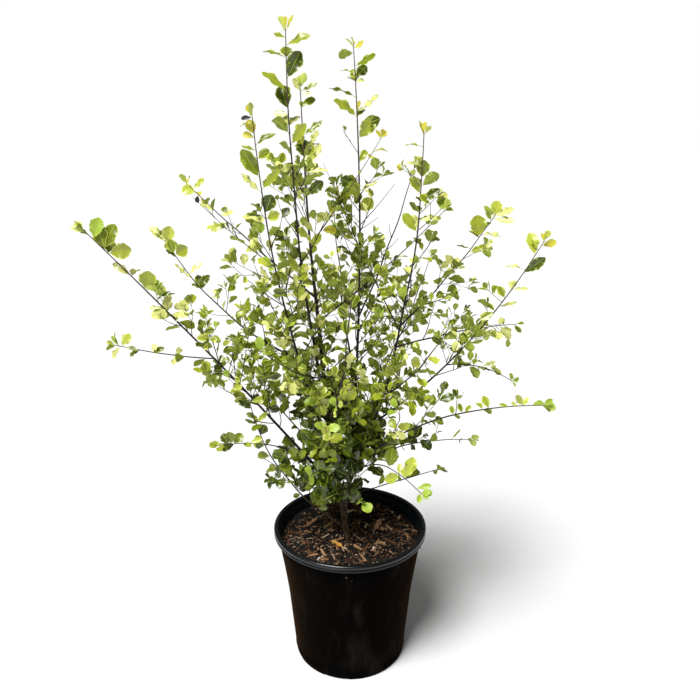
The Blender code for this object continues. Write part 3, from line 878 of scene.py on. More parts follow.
SPOTS = tuple(
    Spot(*row)
    for row in (
        (-0.17, 0.495, 0.04, 0.35), (-0.127, 0.43, 0.04, 0.55), (-0.2, 0.55, 0.028, 0.3),
        (0.02, 0.375, 0.03, 0.25), (0.048, 0.352, 0.032, 0.15), (0.05, 0.405, 0.03, 0.45),
        (0.19, 0.464, 0.022, 0.2), (0.079, 0.915, 0.045, 0.25), (0.038, 0.9, 0.03, 0.15),
        (0.085, 0.855, 0.034, 0.35), (0.11, 0.87, 0.028, 0.5), (0.0, 1.02, 0.045, 0.35),
        (0.035, 1.06, 0.03, 0.35), (-0.101, 1.05, 0.026, 0.5), (-0.136, 1.0, 0.03, 0.5),
        (-0.046, 0.845, 0.026, 0.3), (-0.035, 0.985, 0.034, 0.35), (-0.072, 0.905, 0.02, 0.3),
        (-0.18, 0.797, 0.02, 0.4), (-0.205, 0.895, 0.022, 0.5), (-0.308, 0.76, 0.024, 0.5),
        (-0.222, 0.735, 0.022, 0.5), (0.148, 0.646, 0.022, 0.35), (-0.33, 0.66, 0.022, 0.45),
        (-0.235, 0.703, 0.03, 0.5), (0.29, 0.722, 0.032, 0.15), (0.14, 0.797, 0.02, 0.4),
        (0.109, 0.76, 0.022, 0.35), (0.0, 0.665, 0.035, 0.7), (-0.16, 0.42, 0.026, 0.4),
        (-0.1, 0.96, 0.04, 2.2), (-0.11, 0.9, 0.03, 0.6), (-0.17, 0.945, 0.02, 0.5),
        (0.0, 0.985, 0.024, 0.5), (0.17, 0.905, 0.022, 0.5), (0.215, 0.797, 0.02, 0.5),
        (-0.035, 0.75, 0.028, 2.2), (-0.072, 0.86, 0.02, 2.0), (0.004, 0.85, 0.026, 2.6),
        (0.037, 0.675, 0.03, 2.2), (0.073, 0.722, 0.03, 2.0), (0.13, 0.665, 0.05, 2.0),
        (0.187, 0.77, 0.03, 2.0), (0.18, 0.735, 0.022, 0.4), (0.148, 0.65, 0.022, 0.5),
        (0.12, 0.428, 0.024, 0.5), (-0.112, 0.51, 0.034, 0.6), (-0.112, 0.4, 0.024, 0.6),
        (-0.06, 0.64, 0.05, 0.75), (0.262, 0.6, 0.022, 0.4), (0.298, 0.672, 0.026, 0.5),
        (0.045, 0.6, 0.035, 2.2), (0.06, 0.54, 0.028, 1.8), (0.105, 0.703, 0.022, 2.0),
        (0.125, 0.5, 0.04, 1.6), (-0.187, 0.66, 0.03, 2.0), (-0.225, 0.77, 0.032, 1.8),
    )
)


class Crown:
    """The room that the shrub's stems share, for keeping leaves in reach and off the limbs."""

    spacing = 0.03
    limb_margin = 0.0012
    neighbour_share = 0.85
    skirt_height = 0.322
    skirt_slope = 0.56
    skirt_radius = 0.16
    floor_margin = 0.01

    def __init__(self, lines: dict[str, StemLine]) -> None:
        """Measures out every line as short straight pieces.

        Args:
            lines: Each shoot's line by name.
        """
        starts, ends, owners, radii, spreads = [], [], [], [], []
        for line in lines.values():
            count = max(4, round(line.length / self.spacing) + 1)
            shares = np.linspace(0, line.end_share, count)
            points = line.point(shares)
            starts.append(points[:-1])
            ends.append(points[1:])
            owners += [line.shoot.name] * (count - 1)
            radii += [line.radius(float(share)) for share in shares[:-1]]
            reach = self.neighbour_share * line.shoot.spread
            spreads += [reach if share >= line.shoot.bare else 0.0 for share in shares[:-1]]
        self.starts = np.concatenate(starts)
        self.spans = np.concatenate(ends) - self.starts
        self.lengths = (self.spans**2).sum(axis=1)
        self.owners = np.array(owners)
        self.radii = np.array(radii)
        self.spreads = np.array(spreads)
        self.leaf_places = np.zeros((0, 3))
        self.leaf_rooms = np.zeros(0)

    def distances(self, points: Array) -> Array:
        """The distance from each point to each straight piece, as a table.

        Args:
            points: The points, one row each.

        Returns:
            One row for each point.
        """
        offsets = points[:, None, :] - self.starts[None]
        along = np.clip((offsets * self.spans).sum(axis=2) / self.lengths, 0, 1)
        return np.linalg.norm(offsets - along[..., None] * self.spans, axis=2)

    def holds(self, name: str, spread: float, points: Array) -> bool:
        """Whether points keep to the reach of the foliage and off all wood.

        Args:
            name: The line that they belong to.
            spread: How far from it they may lie.
            points: The places to test.

        Returns:
            True if all of them do.
        """
        out = np.hypot(points[:, 0], points[:, 1])
        cone = self.skirt_height + self.skirt_slope * out
        skirt = np.where(out < self.skirt_radius, cone, POT_HEIGHT + self.floor_margin)
        if (points[:, 2] < skirt).any():
            return False
        table = self.distances(points)
        own = table[:, self.owners == name].min(axis=1) < spread
        shared = (table < self.spreads).any(axis=1)
        return bool((own | shared).all() and ((table - self.radii).min() > self.limb_margin))

    @staticmethod
    def density_at(place: Array) -> float:
        """How open or close the growth is where this place shows in the photograph's view.

        Args:
            place: The place.

        Returns:
            The density, 1 where no spot lies.
        """
        seen = EYE + (place - EYE) * EYE[1] / (EYE[1] - place[1])
        density = 1.0
        for spot in SPOTS:
            if hypot(seen[0] - spot.x, seen[2] - spot.z) < spot.radius:
                density *= spot.density
        return density

    def has_room(self, place: Array, room: float) -> bool:
        """Whether a leaf's middle keeps off the middles of those already set.

        Args:
            place: The leaf's middle.
            room: How much room it needs.

        Returns:
            True if it does.
        """
        if not len(self.leaf_places):
            return True
        gaps = np.linalg.norm(self.leaf_places - place, axis=1)
        return bool((gaps > 0.5 * (room + self.leaf_rooms)).all())

    def take(self, places: list[Array], rooms: list[float]) -> None:
        """Records the middles of new leaves and the room that each needs.

        Args:
            places: The middles.
            rooms: The room of each.
        """
        if places:
            self.leaf_places = np.vstack([self.leaf_places, places])
            self.leaf_rooms = np.concatenate([self.leaf_rooms, rooms])


# Leaves and twigs


@dataclass
class Leaf:
    """One leaf: where it sits, which way it points and faces, its size, curl and tone."""

    foot: Array
    along: Array
    face: Array
    length: float
    breadth: float
    tone: Tone
    droop: float
    fold: float
    wave: float
    phases: tuple[float, float]
    waves: float
    petiole: float

    def blade_foot(self) -> Array:
        """Where the blade starts, at the end of the leaf stalk."""
        return self.foot + self.along * self.petiole

    def middle(self) -> Array:
        """The middle of the blade."""
        return self.foot + self.along * (self.petiole + 0.5 * self.length)

    def test_points(self) -> Array:
        """Points spread over the flat blade, for measuring how clear it lies.

        Returns:
            The points, one row each.
        """
        side = np.cross(self.face, self.along)
        half = self.breadth * self.length / 2
        places = [
            self.blade_foot() + self.along * share * self.length + side * across * half
            for share, across in ((0.6, -1), (0.6, 0), (0.6, 1), (0.85, -0.6), (0.85, 0.6), (1, 0))
        ]
        return np.array(places)


@dataclass
class BladeMesher:
    """Turns leaves into two-sided blades with a raised rib, wavy margins and a stalk."""

    rows: int = 13
    columns: tuple[float, ...] = (-1.0, -0.84, -0.40, -0.04, 0.04, 0.40, 0.84, 1.0)
    margins_from: float = 0.56
    widest: float = 0.58
    bluntness: float = 0.62
    thickness: float = 0.00035
    stalk_radius: float = 0.0006

    def __post_init__(self) -> None:
        """Works out what all blades share."""
        self.shares = 0.5 * (1 - np.cos(np.pi * np.linspace(0.035, 0.965, self.rows)))
        self.across = np.array(self.columns)
        power = log(0.5) / log(self.widest)
        self.outline = np.sin(np.pi * self.shares**power) ** self.bluntness
        wide = len(self.columns)
        row = np.arange(self.rows - 1)[:, None] * wide
        column = np.arange(wide - 1)[None]
        corner = row + column
        quads = np.stack([corner, corner + 1, corner + wide + 1, corner + wide], axis=-1)
        self.quads = quads.reshape(-1, 4)
        self.on_rib = ((column == (wide - 1) // 2) | np.zeros_like(row, bool)).reshape(-1)
        self.on_margin = ((column == 0) | (column == wide - 2) | np.zeros_like(row, bool)).reshape(-1)

    def add(self, leaf: Leaf, parts: MeshParts) -> None:
        """Adds one leaf to the parts of a mesh.

        Args:
            leaf: The leaf.
            parts: Where its upper side, underside and stalk go.
        """
        upper, normals = self.surface(leaf)
        rib, under = BACKS.get(leaf.tone, (RIB, UNDER))
        # A leaf high in the plant gets a paler margin: partly its own pale edge, partly a painted
        # highlight.
        margin = PALE_MARGINS_AND_HIGHLIGHTS.get(leaf.tone, leaf.tone) if leaf.foot[2] > self.margins_from else leaf.tone
        tones = np.where(self.on_margin, margin.value, leaf.tone.value)
        parts.add(upper, self.quads, np.where(self.on_rib, rib.value, tones))
        depth = self.thickness * np.clip(1.05 - np.abs(self.across) ** 4, 0.15, 1.0)
        lower = upper - normals * np.tile(depth, self.rows)[:, None]
        parts.add(lower, self.quads[:, ::-1], np.where(self.on_rib, UNDER_YOUNG.value, under.value))
        end = leaf.blade_foot() + leaf.along * 0.05 * leaf.length
        stalk = np.array([leaf.foot - leaf.along * 0.0005, end])
        rings, faces, _ = sweep(stalk, np.array([self.stalk_radius, 0.7 * self.stalk_radius]), 3)
        parts.add(rings.reshape(-1, 3), faces, RIB.value)

    def surface(self, leaf: Leaf) -> tuple[Array, Array]:
        """The upper side's points and the directions that it faces.

        Args:
            leaf: The leaf.

        Returns:
            Two tables of three columns, row by row from the blade's foot.
        """
        side = np.cross(leaf.face, leaf.along)
        bend = leaf.droop * self.shares
        steady = leaf.droop if abs(leaf.droop) > 1e-3 else 1e-3
        out = leaf.length * np.sin(steady * self.shares) / steady
        down = leaf.length * (1 - np.cos(steady * self.shares)) / steady
        facing = np.outer(np.cos(bend), leaf.face) + np.outer(np.sin(bend), leaf.along)
        spine = leaf.blade_foot() + np.outer(out, leaf.along) - np.outer(down, leaf.face)
        half = self.outline * leaf.length * leaf.breadth / 2
        along = 2 * pi * 1.7 * leaf.waves * self.shares[:, None] + leaf.phases[1]
        ripple = np.sin(along - 2.1 * self.across)
        lateral = half[:, None] * self.across[None] * (1 + 0.10 * ripple * np.abs(self.across))
        crests = np.where(
            self.across[None] < 0,
            np.sin(2 * pi * leaf.waves * self.shares + leaf.phases[0])[:, None],
            np.sin(2 * pi * leaf.waves * self.shares + leaf.phases[1])[:, None],
        )
        swell = np.sin(np.pi * self.shares)[:, None]
        rise = np.abs(lateral) * sin(leaf.fold)
        rise = rise + leaf.wave * leaf.length * crests * swell * self.across[None] ** 2
        flat = lateral * cos(leaf.fold)
        points = spine[:, None] + flat[..., None] * side + rise[..., None] * facing[:, None]
        tilt = -np.sign(self.across) * sin(leaf.fold) * (np.abs(self.across) > 0.1)
        normals = facing[:, None] + tilt[None, :, None] * side
        normals /= np.linalg.norm(normals, axis=2)[..., None]
        return points.reshape(-1, 3), normals.reshape(-1, 3)


def turned(heading: Array, turn: float, lean: float) -> Array:
    """A direction that leans off a heading, at this turn round it.

    Args:
        heading: The heading.
        turn: Where round it, in radians.
        lean: How far off it, in radians.

    Returns:
        The direction.
    """
    across = unit(np.cross(heading, np.array([0.37, 0.61, 0.70])))
    other = np.cross(heading, across)
    out = across * cos(turn) + other * sin(turn)
    return unit(heading * cos(lean) + out * sin(lean))


@dataclass(frozen=True)
class TipLeaf:
    """A leaf that shows against the sky near the end of a shoot, set one by one.

    Its fields are how far below the stem's end it stands, the azimuth and the rise that it
    points at, its length, its breadth as a share of that, how far its face turns from level
    towards the front, and its tone. Lengths are in millimetres and angles in degrees.
    """

    from_end: float
    azimuth: float
    rise: float
    length: float
    breadth: float
    facing: float
    tone: Tone


@dataclass(frozen=True)
class TipTwig:
    """A slender side twig near the end of a shoot, set one by one, in the units of a tip leaf."""

    from_end: float
    azimuth: float
    rise: float
    length: float
    tone: Tone


# The fields of each TipLeaf, by shoot. An azimuth of 180 is to the left and 0 to the right.
TIP_LEAVES = {
    "tall_left": (
        (11, 180, 10, 15, 0.5, 60, OLIVE), (22, 0, 25, 33, 0.45, 50, OLIVE),
        (38, 180, 22, 34, 0.3, 25, MID), (68, 0, 62, 38, 0.64, 88, DEEP),
        (86, 180, 45, 40, 0.42, 35, OLIVE), (112, 180, 74, 36, 0.66, 90, DEEP),
        (118, 180, 5, 19, 0.65, 60, PALE), (134, 180, 65, 15, 0.7, 80, PALE),
    ),
    "leader": (
        (10, 180, 60, 20, 0.5, 80, PALE), (10, 0, 18, 27, 0.42, 40, OLIVE), (13, 0, -5, 17, 0.45, 50, PALE),
        (36, 0, 42, 27, 0.5, 65, MID), (80, 0, 32, 34, 0.33, 45, MID), (98, 180, 65, 24, 0.8, 85, OLIVE),
        (100, 180, 55, 26, 0.25, 20, DEEP), (118, 180, 88, 28, 1.0, 90, DEEP),
        (125, 0, 65, 30, 0.55, 85, OLIVE), (132, 0, 52, 40, 0.42, 60, PALE),
        (138, 180, 35, 20, 0.4, 40, PALE), (142, 0, 10, 34, 0.35, 40, PALE),
        (165, 180, 40, 30, 0.8, 80, OLIVE), (180, 0, 40, 32, 0.6, 80, DEEP),
    ),
    "second_leader": (
        (6, 0, 25, 18, 0.6, 60, GOLD), (14, 180, -5, 25, 0.7, -60, OLIVE), (35, 0, 20, 35, 0.45, 55, MID),
        (48, 180, 28, 24, 0.25, 15, OLIVE), (56, 0, 50, 27, 0.65, 85, DEEP),
        (60, 180, 75, 21, 0.6, 80, OLIVE), (62, 0, 20, 14, 0.6, 60, PALE),
        (88, 180, 30, 46, 0.28, 20, DEEP), (108, 0, 70, 14, 0.5, 70, GOLD), (112, 0, 33, 42, 0.3, 25, PALE),
        (120, 180, 38, 42, 0.45, 50, OLIVE), (138, 0, 20, 36, 0.6, 80, DEEP),
        (158, 0, 50, 38, 0.62, 80, OLIVE), (200, 0, 60, 26, 0.5, 80, OLIVE),
        (245, 180, 30, 32, 0.75, 85, DEEP), (248, 0, 22, 32, 0.3, 30, PALE),
        (262, 180, 60, 30, 0.8, 85, OLIVE), (285, 0, 45, 28, 0.8, 80, OLIVE),
    ),
    "upper_left": (
        (5, 180, 0, 14, 0.5, 70, DEAD), (14, 180, 10, 20, 0.35, 30, PALE),
        (30, 180, 70, 20, 0.75, 85, GOLD), (34, 180, 20, 17, 0.6, 70, GOLD), (45, 0, 40, 30, 0.4, 40, MID),
        (52, 180, 10, 20, 0.45, 30, OLIVE), (65, 0, 35, 20, 0.75, 80, MID),
        (95, 180, 58, 43, 0.52, 88, MID), (112, 0, 42, 38, 0.42, 55, OLIVE),
        (118, 180, 42, 38, 0.28, 30, PALE), (150, 0, 70, 27, 0.9, 88, DEEP),
        (158, 0, 20, 22, 0.8, 80, OLIVE),
    ),
    "far_left": (
        (8, 180, 20, 26, 0.45, 45, PALE), (14, 180, 35, 18, 0.4, 45, LIME), (22, 0, 72, 30, 0.74, 88, LIME),
        (44, 0, 66, 38, 0.6, 85, MID), (46, 180, 78, 40, 0.6, 88, MID), (52, 0, 10, 32, 0.8, 85, OLIVE),
        (102, 180, 42, 32, 0.4, 50, PALE), (136, 0, 80, 30, 0.95, 85, OLIVE),
        (155, 0, 30, 26, 0.3, 30, DEEP), (168, 0, 45, 20, 0.6, 70, PALE), (175, 180, 5, 22, 0.4, 40, PALE),
        (182, 180, -10, 22, 0.75, 70, PALE), (190, 0, 12, 28, 0.45, 50, PALE),
        (192, 180, 5, 24, 0.65, 70, OLIVE), (205, 0, -18, 28, 0.5, 60, OLIVE),
    ),
    "mid_left": (
        (14, 180, 48, 42, 0.33, 50, PALE), (14, 0, 75, 29, 0.85, 88, FRESH),
        (36, 180, 75, 24, 1.0, 88, MID), (38, 0, 30, 27, 0.95, 85, OLIVE), (46, 180, 42, 27, 0.3, 30, DEEP),
        (82, 0, 50, 28, 0.4, 40, PALE), (92, 180, 38, 36, 0.25, 20, PALE), (108, 0, 40, 24, 0.6, 70, DEEP),
        (118, 180, 35, 22, 0.4, 30, DEEP),
    ),
    "back_left_high": (
        (18, 0, 38, 26, 0.45, 60, FRESH), (32, 180, 20, 32, 0.65, 75, FRESH),
        (36, 180, -70, 16, 0.6, 80, DEAD), (42, 0, -60, 16, 0.5, 70, GOLD),
        (85, 180, 20, 26, 0.4, 40, PALE), (100, 0, 10, 26, 0.5, 50, PALE),
        (125, 180, -20, 30, 0.5, 60, FRESH),
    ),
    "level_left": (
        (6, 180, 60, 18, 0.4, 60, LIME), (8, 180, -50, 25, 0.4, 60, PALE), (10, 0, 55, 23, 0.7, 85, FRESH),
        (14, 0, -5, 21, 0.35, 50, DEEP), (42, 180, -20, 24, 0.4, 50, MID), (62, 0, 30, 19, 0.55, 60, DEEP),
        (64, 0, 45, 14, 0.25, 40, PALE), (105, 180, -50, 18, 0.5, 60, PALE),
    ),
    "low_left": (
        (12, 180, 5, 27, 0.4, 50, OLIVE), (20, 180, 60, 19, 0.8, 80, DEEP), (26, 180, 80, 22, 0.9, 85, MID),
        (28, 0, 50, 20, 0.75, 80, MID), (32, 180, -15, 24, 0.6, 70, DEEP), (45, 0, -5, 17, 0.5, 60, OLIVE),
        (60, 0, 20, 20, 0.5, 60, FRESH), (72, 0, -40, 12, 0.9, 80, DEEP), (90, 180, 40, 18, 0.8, 80, MID),
    ),
    "lowest_left": (
        (4, 180, 30, 30, 0.5, 60, OLIVE), (5, 0, 10, 27, 0.5, 60, OLIVE), (22, 180, 40, 25, 0.6, 70, DEEP),
        (50, 0, 40, 24, 0.4, 50, FRESH), (55, 180, 30, 20, 0.35, 40, DEEP), (80, 0, 70, 20, 0.9, 85, DEEP),
        (105, 180, 20, 20, 0.6, 70, OLIVE), (130, 180, 5, 23, 0.65, 70, MID),
        (140, 0, 55, 25, 0.8, 85, MID), (165, 180, -5, 20, 0.75, 75, OLIVE),
        (172, 0, 60, 23, 0.8, 85, DEEP), (190, 180, -50, 23, 0.8, 75, OLIVE),
        (240, 180, -20, 14, 0.7, 70, MID), (272, 0, 65, 24, 0.85, 80, MID),
        (280, 0, 35, 27, 0.75, 75, OLIVE), (288, 0, 0, 18, 0.65, 60, MID),
    ),
    "tall_right": (
        (22, 180, 20, 26, 0.22, 15, OLIVE), (52, 180, 20, 24, 0.4, 25, PALE),
        (72, 0, 85, 26, 0.88, 88, MID), (85, 0, 42, 32, 0.6, -75, PALE), (98, 180, 62, 30, 0.5, 60, OLIVE),
        (110, 0, 35, 33, 0.5, 60, DEEP), (128, 180, 45, 22, 0.5, 60, DEEP),
        (142, 0, 20, 28, 0.45, 40, PALE), (155, 180, 65, 22, 0.8, 80, PALE),
        (162, 180, 55, 36, 0.5, 70, OLIVE),
    ),
    "upper_right": (
        (10, 180, 40, 23, 0.5, 60, LIME), (11, 0, 80, 26, 0.9, 85, FRESH), (12, 0, 22, 34, 0.45, 55, PALE),
        (16, 0, -8, 35, 0.42, 50, PALE), (22, 180, 65, 20, 0.6, 80, MID), (42, 180, 60, 24, 0.35, 35, DEEP),
        (58, 0, 12, 36, 0.32, 30, PALE), (65, 180, 85, 37, 0.85, 88, OLIVE),
        (92, 180, 10, 24, 0.28, 20, DEEP), (102, 0, 18, 32, 0.45, 60, OLIVE),
        (138, 180, 40, 26, 0.6, 60, PALE),
    ),
    "far_right": (
        (9, 0, 16, 22, 0.6, 75, GOLD), (18, 180, 55, 18, 0.35, 40, OLIVE),
        (28, 180, 80, 34, 0.6, 85, FRESH), (55, 180, 25, 30, 0.25, 20, PALE),
        (62, 0, 42, 38, 0.5, 80, DEEP), (95, 0, 15, 26, 0.3, 30, PALE), (112, 180, 60, 20, 0.7, 80, MID),
        (130, 0, 10, 28, 0.3, 30, PALE), (140, 180, -30, 24, 0.6, 60, MID),
    ),
    "level_right": (
        (4, 0, 10, 18, 0.4, 50, MID), (12, 0, -50, 20, 0.55, 60, DEEP), (44, 0, -58, 30, 0.6, 65, FRESH),
        (60, 0, -50, 36, 0.5, 60, PALE), (92, 180, 40, 22, 0.6, 70, OLIVE),
        (110, 180, -30, 28, 0.7, 70, PALE), (125, 0, -45, 32, 0.6, 70, FRESH),
        (145, 180, 60, 28, 0.85, 85, OLIVE),
    ),
    "low_right": (
        (20, 0, 12, 20, 0.42, 50, LIME), (32, 180, 50, 24, 0.5, 70, FRESH),
        (42, 180, 30, 13, 0.5, 60, PALE), (58, 180, 20, 13, 0.5, 60, MID),
        (92, 180, 65, 20, 0.6, 80, OLIVE), (105, 0, -15, 20, 0.5, 60, OLIVE),
        (140, 0, 55, 14, 0.55, 60, OLIVE), (145, 180, 70, 15, 0.6, 70, MID),
        (165, 0, -20, 14, 0.5, 60, MID),
    ),
    "mid_right": (
        (28, 180, 40, 20, 0.6, 70, FRESH), (55, 180, 20, 28, 0.28, 30, PALE),
        (85, 0, 15, 26, 0.28, 30, PALE), (105, 180, 20, 28, 0.35, 40, OLIVE),
    ),
    "drooping_right": (
        (14, 0, 25, 22, 0.45, 50, LIME), (45, 0, 68, 34, 0.65, 80, FRESH),
        (58, 180, -5, 24, 0.75, 75, FRESH), (95, 0, 80, 32, 0.8, 80, MID),
    ),
}

# The fields of each TipTwig, by shoot.
TIP_TWIGS = {
    "leader": (
        (232, 180, 61, 113, MID), (265, 0, 51, 208, GOLD), (366, 0, 15, 50, MID), (382, 0, 35, 46, FRESH),
        (400, 0, 5, 40, DEEP),
    ),
    "heart_high_back": ((40, 0, 55, 44, MID), (55, 180, 40, 44, OLIVE)),
    "second_leader": (
        (183, 180, 52, 46, GOLD), (306, 180, 45, 44, OLIVE), (310, 0, 46, 90, PALE), (318, 0, 30, 40, MID),
        (330, 180, 10, 40, FRESH), (350, 180, 30, 46, MID), (362, 0, 50, 44, FRESH),
        (500, 0, 25, 50, OLIVE), (530, 0, 20, 50, MID),
    ),
    "upper_left": (
        (240, 180, 38, 160, FRESH), (268, 180, 20, 80, PALE), (292, 0, 20, 38, OLIVE),
        (312, 180, 40, 42, MID), (328, 0, 50, 40, FRESH), (350, 180, 10, 75, OLIVE),
        (385, 180, 35, 60, DEEP),
    ),
    "far_left": (
        (268, 0, 50, 40, FRESH), (308, 180, -65, 42, OLIVE), (335, 0, 70, 60, OLIVE),
        (366, 0, 76, 85, DEEP), (400, 0, 66, 60, MID), (415, 180, 30, 34, DEEP), (440, 0, 80, 90, OLIVE),
    ),
    "mid_left": (
        (180, 0, 80, 52, PALE), (220, 0, 35, 36, OLIVE), (235, 180, -60, 56, MID),
        (255, 180, -65, 60, FRESH),
    ),
    "back_left_low": ((60, 0, 65, 50, DEEP), (106, 0, 72, 50, MID), (132, 0, 60, 46, OLIVE)),
    "tall_left": ((352, 180, 25, 36, MID), (390, 0, 35, 36, OLIVE)),
    "tall_right": (
        (75, 180, 25, 36, GOLD), (130, 0, 42, 38, PALE), (158, 0, 40, 58, LIME), (262, 180, 30, 46, OLIVE),
        (296, 180, 40, 52, MID), (330, 180, 25, 44, FRESH), (345, 180, 62, 300, OLIVE),
    ),
    "upper_right": (
        (120, 0, 24, 52, PALE), (186, 0, 2, 56, OLIVE), (205, 0, -20, 36, MID), (236, 180, 80, 36, MID),
        (245, 0, 10, 46, FRESH), (258, 0, -15, 44, MID), (270, 180, 72, 40, MID),
    ),
    "far_right": (
        (120, 180, 35, 34, MID), (172, 0, 0, 34, OLIVE), (270, 180, 70, 45, MID), (310, 180, 60, 50, OLIVE),
    ),
    "level_right": ((72, 0, -45, 46, FRESH), (238, 0, 62, 46, MID), (222, 0, 25, 40, OLIVE)),
    "heart_high_right": ((45, 180, 55, 44, OLIVE), (60, 0, 20, 40, MID)),
    "back_right": ((190, 180, 60, 42, MID), (206, 0, 30, 42, OLIVE)),
    "back_right_low": ((90, 0, 78, 36, DEEP),),
    "low_left": ((182, 180, -55, 30, OLIVE),),
    "heart_left": ((56, 180, 65, 34, MID),),
}


@dataclass
class TwigPath:
    """One side twig: the points that it runs through, how thick it is and how old."""

    points: Array
    foot_radius: float
    tip_radius: float
    wood: Wood

    def length(self) -> float:
        """How long the twig is."""
        return float(np.linalg.norm(np.diff(self.points, axis=0), axis=1).sum())

    def at(self, distance: float) -> tuple[Array, Array]:
        """The place and the heading at a distance from its foot.

        Args:
            distance: The distance.

        Returns:
            The place and the heading.
        """
        steps = np.linalg.norm(np.diff(self.points, axis=0), axis=1)
        marks = np.concatenate([[0.0], np.cumsum(steps)])
        place = np.array([np.interp(distance, marks, self.points[:, axis]) for axis in range(3)])
        index = int(np.clip(np.searchsorted(marks, distance) - 1, 0, len(steps) - 1))
        return place, unit(self.points[index + 1] - self.points[index])


@dataclass(frozen=True)
class Habit:
    """How close, how long and how leafy the growth is, in metres and degrees.

    The core is where side twigs stand closer, the low middle is where leaves are rounder and
    face outwards, and the airy outside and top are where tones are paler and fresher, partly
    young growth and partly painted light. The shade fields set where darker tones are dealt,
    partly older leaves and partly painted shade.
    """

    stem_leaf_pitch: float = 0.0185
    twig_leaf_pitch: float = 0.0156
    first_twig: float = 0.160
    twig_pitch: float = 0.040
    spur_pitch: float = 0.050
    twig_length: float = 0.150
    spur_length: float = 0.105
    twig_lean: float = 46.0
    leaf_lean: float = 56.0
    tip_leaf: float = 0.0400
    twig_leaf: float = 0.0212
    high_gain: float = 0.0020
    low_gain: float = 0.0045
    long_breadth: float = 0.56
    oval_breadth: float = 0.75
    round_breadth: float = 0.94
    petiole: float = 0.0042
    crowding: float = 0.40
    core: float = 2.0
    core_middle: float = -0.03
    core_radius: float = 0.30
    low_height: float = 0.40
    low_depth: float = 0.22
    low_radius: float = 0.10
    low_width: float = 0.16
    shade_most: float = 0.9
    shade_darkest: float = 0.45
    shade_radius: float = 0.24
    shade_from: float = 0.36
    shade_height: float = 0.60
    airy_radius: float = 0.12
    airy_from: float = 0.50
    airy_width: float = 0.22
    leaf_rise: float = 0.22
    twig_rise: float = 0.12
    twig_arch: float = 0.14
    twig_sway: float = 0.07
    rosette_step: float = 0.0016
    leaf_sizes: tuple[float, ...] = (1.0, 1.0, 0.9, 0.75)
    twig_sizes: tuple[float, ...] = (1.0, 0.8, 0.6, 0.42)
    rosette_leans: tuple[float, ...] = (6.0, 24.0, 38.0, 50.0)
    rosette_leaf: float = 0.0200
    hidden_leaf: float = 0.026
    hidden_share: float = 0.4
    tip_leaf_scale: float = 0.00104
    twig_end_radius: float = 0.0004
    shortest_twig: float = 0.012
    twiglets_from: float = 0.045
    lowest_spur: float = 0.325


# The share of sprays that each tone is dealt in the middle of the crown, and how much more outside.
# Darker tones in the middle are partly painted shade, paler ones outside partly painted light.
SPRAY_SHARES = {
    SHADE: (0.20, -0.14),
    DEEP: (0.28, -0.13),
    MID: (0.28, -0.12),
    OLIVE: (0.17, 0.0),
    FRESH: (0.05, 0.15),
    PALE: (0.0, 0.27),
    LIME: (0.02, 0.0),
}


